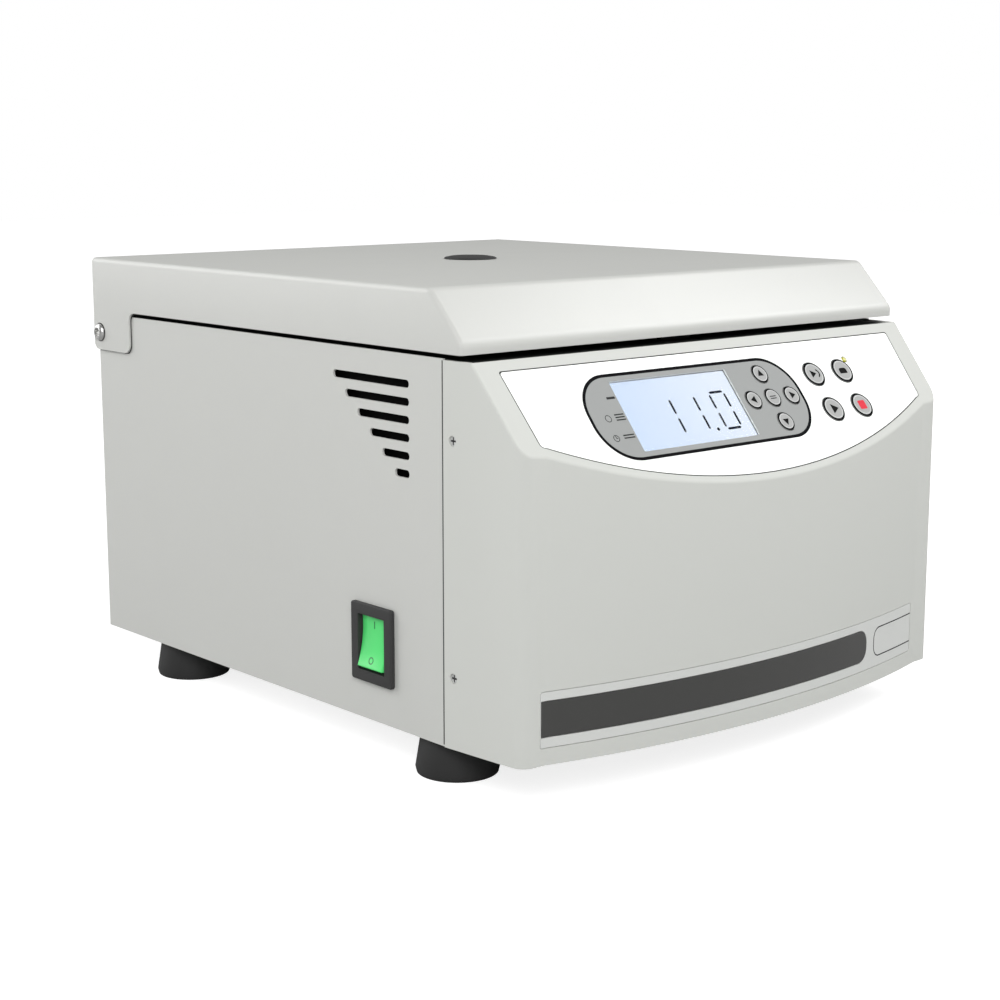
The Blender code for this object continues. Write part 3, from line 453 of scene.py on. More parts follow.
def maths(tree, operation, *values, clamp=False):
    node = add(tree, "ShaderNodeMath", operation=operation, use_clamp=clamp)
    for value, socket in zip(values, node.inputs):
        link_or_set(tree, value, socket)
    return node.outputs[0]


def remap(tree, value, low, high, to_low, to_high):
    node = add(tree, "ShaderNodeMapRange", clamp=True)
    for given, socket in zip((value, low, high, to_low, to_high), node.inputs):
        link_or_set(tree, given, socket)
    return node.outputs[0]


def mixed(tree, factor, first, second):
    node = add(tree, "ShaderNodeMix", data_type="RGBA")
    link_or_set(tree, factor, node.inputs[0])
    link_or_set(tree, first, node.inputs[6])
    link_or_set(tree, second, node.inputs[7])
    return node.outputs[2]


def object_vector(tree, offset=(0, 0, 0)):
    coordinates = add(tree, "ShaderNodeTexCoord")
    mapping = add(tree, "ShaderNodeMapping", Location=offset)
    tree.links.new(coordinates.outputs["Object"], mapping.inputs["Vector"])
    return mapping.outputs["Vector"]


def surface_group():
    """Slow tone shifts, fine grain and a roughness that follows both."""
    name = "surface_grain"
    if name in bpy.data.node_groups:
        return bpy.data.node_groups[name]
    value = "NodeSocketFloat"
    group, enter, leave = new_group(
        name,
        [
            ("Vector", "NodeSocketVector", (0, 0, 0)),
            ("Colour", "NodeSocketColor", (0.8, 0.8, 0.8, 1)),
            ("Tone", value, 0.03),
            ("Grain Scale", value, 900.0),
            ("Roughness", value, 0.4),
            ("Roughness Spread", value, 0.06),
            ("Smudges", value, 0.2),
        ],
        [("Colour", "NodeSocketColor"), ("Roughness", value), ("Height", value)],
    )

    def times(first, second):
        return maths(group, "MULTIPLY", first, second)

    def plus(first, second, clamp=False):
        return maths(group, "ADD", first, second, clamp=clamp)

    def centred(wave, amount):
        return times(maths(group, "SUBTRACT", wave, 0.5), enter.outputs[amount])

    vector = enter.outputs["Vector"]
    slow = noise(group, vector, 9.0, 2.0)
    fine = noise(group, vector, enter.outputs["Grain Scale"], 2.0)
    speck = noise(group, vector, times(enter.outputs["Grain Scale"], 2.7), 1.0)
    smudge = remap(group, noise(group, vector, 26.0, 5.0, 0.62), 0.52, 0.72, 0.0, 1.0)
    smudge = times(smudge, enter.outputs["Smudges"])
    height = plus(times(fine, 0.7), times(speck, 0.3))
    tone = plus(centred(slow, "Tone"), centred(fine, "Tone"))
    tone = plus(tone, times(smudge, -0.03))
    scaled = add(group, "ShaderNodeVectorMath", operation="SCALE")
    group.links.new(enter.outputs["Colour"], scaled.inputs[0])
    group.links.new(plus(1.0, tone), scaled.inputs["Scale"])
    group.links.new(scaled.outputs[0], leave.inputs["Colour"])
    rough = plus(centred(fine, "Roughness Spread"), enter.outputs["Roughness"])
    rough = plus(rough, times(smudge, 0.10), clamp=True)
    group.links.new(rough, leave.inputs["Roughness"])
    group.links.new(height, leave.inputs["Height"])
    return group


def lathe_group():
    """Fine rings round a vertical axis, as a lathe tool leaves."""
    name = "turning_marks"
    if name in bpy.data.node_groups:
        return bpy.data.node_groups[name]
    value = "NodeSocketFloat"
    vector = ("Vector", "NodeSocketVector", (0, 0, 0))
    group, enter, leave = new_group(
        name, [vector, ("Pitch", value, 0.0004), ("Wander", value, 0.3)], [("Marks", value)]
    )
    split = add(group, "ShaderNodeSeparateXYZ")
    group.links.new(enter.outputs["Vector"], split.inputs[0])
    squares = [maths(group, "POWER", split.outputs[axis], 2.0) for axis in (0, 1)]
    reach = maths(group, "SQRT", maths(group, "ADD", *squares))
    along = maths(group, "ADD", reach, split.outputs[2])
    ring = add(group, "ShaderNodeTexNoise", noise_dimensions="1D", Detail=3.0, Scale=1.0)
    group.links.new(maths(group, "DIVIDE", along, enter.outputs["Pitch"]), ring.inputs["W"])
    cloud = noise(group, enter.outputs["Vector"], 40.0, 2.0)
    wander = maths(group, "MULTIPLY", cloud, enter.outputs["Wander"])
    marks = maths(group, "ADD", ring.outputs["Fac"], wander)
    group.links.new(marks, leave.inputs["Marks"])
    return group


def place_group(tree, group, **values):
    node = tree.nodes.new("ShaderNodeGroup")
    node.node_tree = group
    for key, value in values.items():
        link_or_set(tree, value, node.inputs[key.replace("_", " ")])
    return node


# ---- Materials ----
# Each row: a colour or the name of a colour property, the roughness, and other values of finish
LOOKS = {
    "powder_coat": ("paint", 0.41, dict(grain=650, depth=20, tone=0.02, specular=0.65)),
    "front_moulding": ("moulding", 0.37, dict(grain=1500, depth=12, tone=0.02, specular=0.80)),
    "panel_film": ("film", 0.30, dict(grain=1800, depth=5, tone=0.015)),
    "black_ink": ("ink", 0.6, dict(grain=1800, depth=4, tone=0.10, specular=0.02)),
    "black_plastic": ("black", 0.45, dict(grain=1600, depth=16, tone=0.15, specular=0.3)),
    "deck_plastic": ((0.020, 0.021, 0.020), 0.50, dict(grain=1200, depth=20, tone=0.15)),
    "foot_rubber": (
        "rubber", 0.62, dict(grain=700, depth=30, tone=0.25, spread=0.15, specular=0.15)
    ),
    "seal_rubber": ((0.030, 0.030, 0.032), 0.60, dict(depth=15, tone=0.20)),
    "zinc_steel": (
        (0.50, 0.51, 0.53), 0.36, dict(grain=300, depth=6, tone=0.15, spread=0.15, Metallic=1.0)
    ),
    "screw_steel": ("steel", 0.34, dict(depth=4, tone=0.10, Metallic=1.0)),
    "black_nylon": ((0.020, 0.020, 0.020), 0.45, dict(depth=8, tone=0.10)),
    "circuit_board": ((0.020, 0.150, 0.060), 0.35, dict(grain=400, tone=0.30)),
    "motor_paint": ((0.040, 0.042, 0.045), 0.45, dict(grain=800, depth=20, tone=0.2)),
    # painted shade: a dark strip for the shadow in the joint beside the control front
    "seam_strip": ((0.035, 0.036, 0.035), 0.6, dict(depth=6, tone=0.2)),
    "liner_felt": ((0.003, 0.003, 0.003), 0.9, dict(depth=80, tone=0.4, specular=0.1)),
    # painted shade: dark ring for the shadow in the gap round the panel sheet
    "sheet_border": ((0.030, 0.031, 0.030), 0.6, dict(depth=6, tone=0.1, specular=0.1)),
    "field_print": ("field", 0.5, dict(grain=1800, depth=4, tone=0.02, specular=0.12)),
    "legend_print": ((0.040, 0.041, 0.041), 0.6, dict(depth=3, tone=0.1, specular=0.03)),
    "display_window": (
        (1, 1, 1), 0.06,
        dict(grain=300, depth=1, tone=0.0, spread=0.0, specular=0.03, IOR=1.04,
             Transmission_Weight=1.0),
    ),
    "display_segment": ((0.006, 0.010, 0.022), 0.6, dict(depth=3, tone=0.1, specular=0.02)),
    "key_face": ("key", 0.5, dict(grain=1500, depth=8, specular=0.25)),
    "key_mark": ((0.008, 0.008, 0.008), 0.6, dict(depth=3, specular=0.03)),
    "stop_mark": ("stop", 0.6, dict(depth=3, specular=0.05)),
    "label_film": ("label", 0.34, dict(grain=1600, depth=6, tone=0.015)),
    "strip_film": ("strip", 0.36, dict(grain=1600, depth=6, tone=0.05)),
    "rocker_mark": ((0.010, 0.180, 0.040), 0.3, dict(depth=3)),
    "plated_screw": ((0.60, 0.61, 0.60), 0.42, dict(depth=4, tone=0.1, Metallic=0.3)),
    "rotor_marks": ((0.62, 0.63, 0.64), 0.4, dict(depth=3)),
    "inlet_pins": ((0.62, 0.50, 0.28), 0.28, dict(depth=3, tone=0.08, Metallic=1.0)),
    "black_oxide": ((0.010, 0.010, 0.011), 0.45, dict(depth=4, tone=0.2, Metallic=0.6)),
}


def finish(
    name, colour, roughness, grain=900, depth=10, tone=0.03, spread=0.06, specular=0.5, **shader
):
    """A material with grain, tone shifts and smudges, and the depth of its grain in micrometres.

    Other values go to the shader's own sockets.
    """
    if name in bpy.data.materials:
        return bpy.data.materials[name]
    material = bpy.data.materials.new(name)
    material.use_nodes = True
    tree = material.node_tree
    principled = tree.nodes["Principled BSDF"]
    surface = place_group(
        tree, surface_group(), Vector=object_vector(tree), Colour=(*colour, 1), Tone=tone,
        Grain_Scale=grain, Roughness=roughness, Roughness_Spread=spread,
    )
    tree.links.new(surface.outputs["Colour"], principled.inputs["Base Color"])
    tree.links.new(surface.outputs["Roughness"], principled.inputs["Roughness"])
    bump = add(tree, "ShaderNodeBump", Strength=0.6, Distance=depth * MICRON)
    tree.links.new(surface.outputs["Height"], bump.inputs["Height"])
    tree.links.new(bump.outputs["Normal"], principled.inputs["Normal"])
    principled.inputs["Specular IOR Level"].default_value = specular
    for key, value in shader.items():
        principled.inputs[key.replace("_", " ")].default_value = value
    return material


def look(name):
    """The named finish from the table."""
    tint, roughness, values = LOOKS[name]
    if isinstance(tint, str):
        tint = getattr(finishes(), tint)
    return finish(name, tint, roughness, **values)


def lathed(name, colour, roughness, pitch):
    """A turned metal finish whose rings lie round the rotor's axis."""
    if name in bpy.data.materials:
        return bpy.data.materials[name]
    material = finish(name, colour, roughness, grain=500, depth=3, tone=0.05, Metallic=1.0)
    tree = material.node_tree
    principled = tree.nodes["Principled BSDF"]
    vector = object_vector(tree, (-AXIS.x, -AXIS.y, 0))
    marks = place_group(tree, lathe_group(), Vector=vector, Pitch=pitch)
    bump = add(tree, "ShaderNodeBump", Strength=0.5, Distance=6 * MICRON)
    tree.links.new(marks.outputs["Marks"], bump.inputs["Height"])
    tree.links.new(principled.inputs["Normal"].links[0].from_socket, bump.inputs["Normal"])
    tree.links.new(bump.outputs["Normal"], principled.inputs["Normal"])
    spread = remap(tree, marks.outputs["Marks"], 0.3, 0.9, -0.08, 0.08)
    plain = principled.inputs["Roughness"].links[0].from_socket
    tree.links.new(maths(tree, "ADD", plain, spread, clamp=True), principled.inputs["Roughness"])
    return material


def bowl_steel():
    return lathed("bowl_steel", finishes().steel, 0.26, 0.9 * MM)


def anodised():
    return lathed("anodised_alloy", finishes().rotor, 0.32, 0.4 * MM)


def lit(name, colour, strength, roughness, **shader):
    """A finish that also glows evenly with its own colour."""
    if name in bpy.data.materials:
        return bpy.data.materials[name]
    material = finish(name, colour, roughness, grain=1200, depth=3, tone=0.04, **shader)
    tree = material.node_tree
    principled = tree.nodes["Principled BSDF"]
    base = principled.inputs["Base Color"].links[0].from_socket
    tree.links.new(base, principled.inputs["Emission Color"])
    principled.inputs["Emission Strength"].default_value = strength
    return material


def dress(material, *nodes):
    """Gives CAD nodes that stay as they are their material."""
    for node in nodes:
        for slot in frame["nodes"][node].material_slots:
            slot.material = material


# ---- Cabinet ----
class CENTRIFUGE_OT_cabinet(bpy.types.Operator):
    """Side and rear walls with their vents, and the floor tray"""

    bl_idname = "centrifuge.cabinet"
    bl_label = "Cabinet"

    def execute(self, context):
        sizes = casing()
        bm = block(CABINET_LOW, CABINET_HIGH + Vector((0, 0, sizes.rim)))
        open_faces = [f for f in bm.faces if abs(f.normal.z) > 0.9 or f.normal.y < -0.9]
        bmesh.ops.delete(bm, geom=open_faces, context="FACES_ONLY")
        corners = [e for e in bm.edges if len(e.link_faces) == 2]
        round_edges(bm, corners, sizes.cabinet_corner, 6)
        bm = walled(bm, sizes.sheet)
        tools = [self.vents(sizes), self.opening("power_switch_frame", (0, 2.3, 2.4))]
        hinge = middle("hinge_screw_left")
        for side, _ in SIDES:
            hole = disc(0, 0, 2.9 * MM, -4 * MM, 4 * MM, 24)
            tools.append(moved(hole, sideways(side, (side * CABINET_HIGH.x, hinge.y, hinge.z))))
        fan = middle("fan_guard")
        facing = about(fan.x, CABINET_HIGH.y, fan.z) @ Matrix.Rotation(QUARTER, 4, "X")
        tools.append(moved(disc(0, 0, 27 * MM, -6 * MM, 6 * MM, 64), facing))
        tools.append(self.opening("mains_inlet", (10, 0, 4.7)))
        bm = carved(bm, tools)
        walls = look("powder_coat")
        piece("cabinet_walls", bm, walls, "root", ["cabinet_shell"], 0.25 * MM)
        dress(walls, "base_pan")
        self.liner()
        self.seam()
        return {"FINISHED"}

    def opening(self, node, inset):
        """A cutter for the hole behind a fitting, smaller than it by the inset."""
        low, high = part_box(node)
        inset = Vector(inset) * MM
        return block(low + inset, high - inset)

    def vents(self, sizes):
        """Six slots through both side walls, each shorter than the one above."""
        upright_slot = Matrix.Rotation(QUARTER, 4, "Z") @ Matrix.Rotation(QUARTER, 4, "X")
        front = -101.2 * MM
        half = sizes.vent_height / 2
        slots = []
        for row in range(6):
            z = 195.8 * MM - sizes.vent_pitch * row
            rear = front + sizes.vent_longest - sizes.vent_step * row
            slot = plate(front, rear, z - half, z + half, -0.17, 0.17, half * 0.999, 8)
            slots.append(moved(slot, upright_slot))
        return joined(slots)

    def seam(self):
        """Dark strip of painted shade where the side walls meet the control front, standing for the
        shadow in the joint.
        """
        for side, word in SIDES:
            face = side * CABINET_HIGH.x
            near, far = sorted((face - side * 0.2 * MM, face + side * 0.12 * MM))
            strip = block(
                (near, SEAM_Y + 0.15 * MM, CABINET_LOW.z + MM),
                (far, SEAM_Y + 1.5 * MM, FRONT_HIGH.z - 0.2 * MM),
            )
            soften(strip, 0.05 * MM, 2)
            # painted shade: the strip stands for the shadow in the joint
            piece(f"seam_strip_{word}", strip, look("seam_strip"))

    def liner(self):
        """Dark felt behind the vents."""
        for side, word in SIDES:
            near, far = sorted((side * 151.0 * MM, side * 153.5 * MM))
            sheet = block((near, -110 * MM, 140 * MM), (far, -30 * MM, 202 * MM))
            soften(sheet, 0.6 * MM)
            piece(f"vent_liner_{word}", sheet, look("liner_felt"))


class CENTRIFUGE_OT_lid(bpy.types.Operator):
    """Folded sheet lid with its hinge arms"""

    bl_idname = "centrifuge.lid"
    bl_label = "Lid"

    def execute(self, context):
        sizes = casing()
        lip_z = SKIRT_Z + sizes.lid_lip
        bm = block((LID_LOW.x, LID_LOW.y, SKIRT_Z), LID_HIGH)
        outward = Vector((0, lip_z - LID_HIGH.z, sizes.lid_slope_run)).normalized()
        cut = bisected(bm, (0, LID_LOW.y, lip_z), outward, True)
        bmesh.ops.contextual_create(bm, geom=of_kind(cut, bmesh.types.BMEdge))
        bmesh.ops.recalc_face_normals(bm, faces=bm.faces)
        under = [f for f in bm.faces if f.normal.z < -0.9]
        bmesh.ops.delete(bm, geom=under, context="FACES_ONLY")
        bends = [e for e in bm.edges if e.is_manifold and e.calc_face_angle() > 0.3]
        round_edges(bm, bends, sizes.lid_bend, 6)
        front = LID_HIGH.y - sizes.arm_length
        for side, _ in SIDES:
            self.arm(bm, side, front)
        bmesh.ops.recalc_face_normals(bm, faces=bm.faces)
        if max(bm.faces, key=lambda f: f.calc_area()).normal.z < 0:
            bmesh.ops.reverse_faces(bm, faces=bm.faces)
        self.round_arms(bm, front, sizes.arm_corner)
        bm = walled(bm, sizes.sheet)
        port = disc(AXIS.x, AXIS.y, PORT_RADIUS, 0.230, 0.250, 64)
        bm = carved(bm, [port, self.bush_hole(-1), self.bush_hole(1)])
        cover = look("powder_coat")
        piece("lid_cover", bm, cover, "lid", ["lid_shell"], 0.3 * MM)
        for side, word in SIDES:
            # painted shade: black strips along the lid's lower edges for the shadow in the gap
            # under the skirt and beside the hinge arms
            strip = carved(self.edge_strip(side, front, sizes), [self.bush_hole(side)])
            piece(f"lid_edge_painted_shade_{word}", strip, look("seal_rubber"), "lid")
        return {"FINISHED"}

    def bush_hole(self, side):
        """Where the hinge bush passes through one side."""
        hinge = middle("hinge_bush_left")
        where = sideways(side, (side * LID_HIGH.x, hinge.y, hinge.z))
        return moved(disc(0, 0, 5.5 * MM, -3 * MM, 3 * MM, 48), where)

    def edge_strip(self, side, front, sizes):
        """A thin black strip of painted shade inside the skirt and the hinge arm, just proud of
        their edges, for the shadow in the gap under them.
        """
        proud = 0.45 * MM
        face = side * (LID_HIGH.x - sizes.sheet)
        near, far = sorted((face - side * 0.25 * MM, face))
        top = SKIRT_Z + 4 * MM
        skirt = block((near, LID_LOW.y + 2 * MM, SKIRT_Z - proud), (far, front + 2 * MM, top))
        arm = block((near, front - proud, LID_LOW.z - proud), (far, LID_HIGH.y - 2 * MM, top))
        strip = carved(skirt, [arm], "UNION")
        turn = Vector((front - proud, SKIRT_Z - proud))
        corners = [
            e for e in edges_along(strip, 0)
            if e.verts[0].co.z < LID_LOW.z or (e.verts[0].co.yz - turn).length < 10 * SAME
        ]
        round_edges(strip, corners, sizes.arm_corner, 8)
        return strip

    def round_arms(self, bm, front, corner):
        """Makes each side wall one face with its arm, then rounds the arm's corners."""
        for side, _ in SIDES:
            wall = [f for f in bm.faces if f.normal.x * side > 0.999]
            bmesh.ops.dissolve_faces(bm, faces=wall, use_verts=False)
        idle = [v for v in bm.verts if len(v.link_edges) == 2 and v.calc_edge_angle(0) < 0.01]
        bmesh.ops.dissolve_verts(bm, verts=idle)
        in_line = [v for v in bm.verts if abs(v.co.y - front) < SAME]
        tips = [v for v in in_line if v.co.z < LID_LOW.z + SAME]
        inner = [v for v in in_line if abs(v.co.z - SKIRT_Z) < SAME]
        bevelled(bm, tips + inner, corner, 8, "VERTICES")
        rear = max(v.co.y for v in bm.verts if v.co.z < LID_LOW.z + SAME)
        for step in range(1, 8):
            angle = QUARTER / 8 * step
            outward = Vector((0, math.sin(angle), -math.cos(angle)))
            centre = Vector((0, rear - corner, LID_LOW.z + corner))
            bisected(bm, centre + outward * corner, outward, True)

    def arm(self, bm, side, front):
        """Runs the rear of one side wall down to the hinge."""
        walls = [f for f in bm.faces if f.calc_center_median().x * side > 0]
        wall = max(walls, key=lambda f: abs(f.normal.x) * f.calc_area())
        geom = [wall, *wall.edges, *wall.verts]
        bmesh.ops.bisect_plane(bm, geom=geom, plane_co=(0, front, 0), plane_no=(0, 1, 0))

        def at_rear(vert):
            at_side = vert.co.x * side > LID_HIGH.x - 0.4 * MM
            return at_side and vert.co.y > front - SAME and abs(vert.co.z - SKIRT_Z) < SAME

        rear_edge = [e for e in bm.edges if all(map(at_rear, e.verts))]
        grown = bmesh.ops.extrude_edge_only(bm, edges=rear_edge)["geom"]
        down = of_kind(grown, bmesh.types.BMVert)
        bmesh.ops.translate(bm, vec=(0, 0, LID_LOW.z - SKIRT_Z), verts=down)


def panel_plate(grow, under, top):
    """The panel sheet's outline in the slope frame: straight top and sides, bowed lower edge."""
    half = 137.3 * MM
    drop = 30.0 * MM
    lowest = -79.5 * MM - grow
    radius = (half**2 + drop**2) / (2 * drop)
    bm = bmesh.new()
    start = bm.verts.new((-half, lowest + drop, under))
    bmesh.ops.spin(
        bm, geom=[start], cent=(0, lowest + radius, under), axis=(0, 0, 1),
        angle=2 * math.asin(half / radius), steps=64,
    )
    last = max(bm.verts, key=lambda v: v.co.x)
    ring = [start]
    for x, y in points((-140.8, -48.5), (-143.5, -6.5), (143.5, -6.5), (140.8, -48.5)):
        lift = grow if y > -20 * MM else 0.0
        ring.append(bm.verts.new((x + math.copysign(grow, x), y + lift, under)))
    ring.append(last)
    for pair in zip(ring, ring[1:]):
        bm.edges.new(pair)
    face = bmesh.ops.contextual_create(bm, geom=bm.edges[:])["faces"]
    grown = bmesh.ops.extrude_face_region(bm, geom=face)["geom"]
    raised = of_kind(grown, bmesh.types.BMVert)
    bmesh.ops.translate(bm, vec=(0, 0, top - under), verts=raised)
    bmesh.ops.recalc_face_normals(bm, faces=bm.faces)
    corners = [e for e in upright(bm) if e.calc_face_angle() > 0.2]
    round_edges(bm, corners, 1.6 * MM, 5)
    return bm


class CENTRIFUGE_OT_control_front(bpy.types.Operator):
    """Moulded control front: bowed wall, slope, and pockets for the panel and label"""

    bl_idname = "centrifuge.control_front"
    bl_label = "Control Front"

    def execute(self, context):
        sizes = casing()
        half = sizes.bow_half
        radius = bow_radius()
        end_y = FRONT_LOW.y + sizes.bow_depth
        bm = bmesh.new()
        foot = bm.verts.new((-half, end_y, FRONT_LOW.z))
        head = bm.verts.new((-half, end_y, FRONT_HIGH.z))
        edge = bm.edges.new((foot, head))
        bmesh.ops.spin(
            bm, geom=[foot, head, edge], cent=(0, FRONT_LOW.y + radius, 0), axis=(0, 0, 1),
            angle=2 * math.asin(half / radius), steps=80,
        )
        for side, _ in SIDES:
            self.side_wall(bm, side, sizes)
        bmesh.ops.recalc_face_normals(bm, faces=bm.faces)
        if sum(f.normal.y for f in bm.faces) > 0:
            bmesh.ops.reverse_faces(bm, faces=bm.faces)
        self.slope(bm, sizes)
        bm = walled(bm, sizes.front_wall)
        bm = carved(bm, [moved(panel_plate(0.6 * MM, -1.3 * MM, 5 * MM), SLOPE)])
        recess = plate(-86 * MM, 104 * MM, -62.5 * MM, -13.5 * MM, -6 * MM, -1.0 * MM, 3 * MM)
        label = plate(-144.3 * MM, 133.8 * MM, 28.7 * MM, 56.6 * MM, -1.0 * MM, 4 * MM, 1.3 * MM)
        tools = [moved(recess, SLOPE), wrapped(label)]
        for level in ("lower", "upper"):
            for side, word in SIDES:
                screw = middle(f"fascia_screw_{word}_{level}")
                where = sideways(side, (side * FRONT_HIGH.x, screw.y, screw.z))
                tools.append(moved(disc(0, 0, 2.5 * MM, -5 * MM, 4 * MM, 48), where))
        bm = carved(bm, tools)
        material = look("front_moulding")
        piece("control_front", bm, material, "root", ["front_fascia"], 0.22 * MM)
        return {"FINISHED"}

    def side_wall(self, bm, side, sizes):
        """Carries the bowed wall round the corner and back to the seam."""
        corner_x = 155.0 * MM
        for x, y in ((corner_x, -180.0 * MM), (FRONT_HIGH.x, SEAM_Y)):
            reach = sizes.bow_half - SAME
            ends = [
                e for e in upright(bm)
                if e.is_boundary and all(v.co.x * side > reach for v in e.verts)
            ]
            outer = max(ends, key=lambda e: e.verts[0].co.x * side)
            here = outer.verts[0].co.copy()
            grown = bmesh.ops.extrude_edge_only(bm, edges=[outer])["geom"]
            verts = of_kind(grown, bmesh.types.BMVert)
            bmesh.ops.translate(bm, vec=(x * side - here.x, y - here.y, 0), verts=verts)
        corner = [e for e in upright(bm) if abs(e.verts[0].co.x - corner_x * side) < SAME]
        round_edges(bm, corner, sizes.front_corner * 0.92, 10)

    def slope(self, bm, sizes):
        """Cuts the slope, closes it with one face and rounds its edges."""
        outward = SLOPE.to_3x3() @ Vector((0, 0, 1))
        cut = bisected(bm, (0, SLOPE_TOP_Y, FRONT_HIGH.z), outward, True)
        rim = of_kind(cut, bmesh.types.BMEdge)
        ends = of_kind(cut, bmesh.types.BMVert)
        left = min(ends, key=lambda v: (round(-v.co.z, 5), v.co.x))
        right = min(ends, key=lambda v: (round(-v.co.z, 5), -v.co.x))
        back = bm.edges.new((left, right))
        bmesh.ops.contextual_create(bm, geom=[*rim, back])
        bmesh.ops.recalc_face_normals(bm, faces=bm.faces)
        if sum(f.normal.y * f.calc_area() for f in bm.faces) > 0:
            bmesh.ops.reverse_faces(bm, faces=bm.faces)
        edges = [e for e in rim if e.is_valid and e.is_manifold]
        round_edges(bm, edges, sizes.front_edge, 4)


def key_holes(under, top):
    """Discs in the slope frame, one for each key, with 0.4 mm round it."""
    holes = []
    for key in KEYS:
        centre = on_slope(key)
        low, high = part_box(key)
        radius = (high.x - low.x) / 2 + 0.4 * MM
        holes.append(disc(centre.x, centre.y, radius, under, top, 64))
    return holes


def display_plate(grow, under, top):
    low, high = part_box("display_lens")
    y = on_slope("display_lens").y
    half = 19.9 * MM + grow
    return plate(low.x - grow, high.x + grow, y - half, y + half, under, top, 0.8 * MM, 5)


class CENTRIFUGE_OT_control_sheet(bpy.types.Operator):
    """Printed panel sheet on the slope, with the grey field and its marks"""

    bl_idname = "centrifuge.control_sheet"
    bl_label = "Control Sheet"

    def execute(self, context):
        sizes = panel()
        led = on_slope("status_led")
        tools = [
            display_plate(0.3 * MM, -3 * MM, 2 * MM),
            *key_holes(-3 * MM, 2 * MM),
            disc(led.x, led.y, 1.9 * MM, -3 * MM, 2 * MM, 32),
        ]
        sheet = moved(carved(panel_plate(0.0, -1.0 * MM, 0.0), tools), SLOPE)
        film = look("panel_film")
        piece("control_sheet", sheet, film, "root", ["control_overlay"], 0.12 * MM)
        # A dark seal ring in the gap round the panel sheet, which also paints the shadow in that
        # gap.
        border = panel_plate(0.55 * MM, -1.2 * MM, -0.1 * MM)
        border = carved(border, [panel_plate(0.03 * MM, -2 * MM, 1 * MM)])
        piece("sheet_border", moved(border, SLOPE), look("sheet_border"))
        left, right, low, high = -104 * MM, 50 * MM, -63 * MM, -13.5 * MM
        line = sizes.field_line
        corner = 22 * MM
        inner = (left + line, right - line, low + line, high - line)
        outline = carved(
            plate(left, right, low, high, 10 * MICRON, sizes.ink, corner, 24),
            [plate(*inner, -1 * MM, 1 * MM, corner - line, 24)],
        )
        piece("field_outline", moved(outline, SLOPE), look("black_ink"))
        field = carved(
            plate(*inner, 10 * MICRON, sizes.ink * 0.8, corner - line, 24),
            [display_plate(0.3 * MM, -1 * MM, 1 * MM), *key_holes(-1 * MM, 1 * MM)],
        )
        piece("field_print", moved(field, SLOPE), look("field_print"))
        self.legend(sizes.ink)
        return {"FINISHED"}

    def legend(self, height):
        """Small generic marks beside the display: speed, direction and time."""
        low, top = height * 0.8, height * 2

        def bar(left, right, under, over, radius=0.0):
            sides = (value * MM for value in (left, right, under, over))
            return plate(*sides, low, top, radius, 3)

        def ring(x, y, radius):
            hole = disc(x * MM, y * MM, (radius - 0.35) * MM, low - MM, top + MM, 32)
            return carved(disc(x * MM, y * MM, radius * MM, low, top, 32), [hole])

        marks = [bar(-86.6, -81.0, -27.7, -26.4, 0.3 * MM), ring(-92.0, -38.2, 2.0)]
        marks += [bar(-87.2, -81.0, -36.9 - 1.5 * row, -36.2 - 1.5 * row) for row in range(3)]
        marks.append(ring(-93.2, -49.3, 1.9))
        marks.append(bar(-93.4, -93.0, -49.3, -47.9))
        marks.append(bar(-93.2, -92.2, -49.5, -49.1))
        marks += [bar(-88.2, -81.0, -48.6 - 1.5 * row, -47.9 - 1.5 * row) for row in range(2)]
        piece("legend_marks", moved(joined(marks), SLOPE), look("legend_print"))


SEGMENTS = {
    "0": "abcdef",
    "1": "bc",
    "2": "abged",
    "3": "abgcd",
    "4": "fgbc",
    "5": "afgcd",
    "6": "afgecd",
    "7": "abc",
    "8": "abcdefg",
    "9": "abfgcd",
    "-": "g",
}


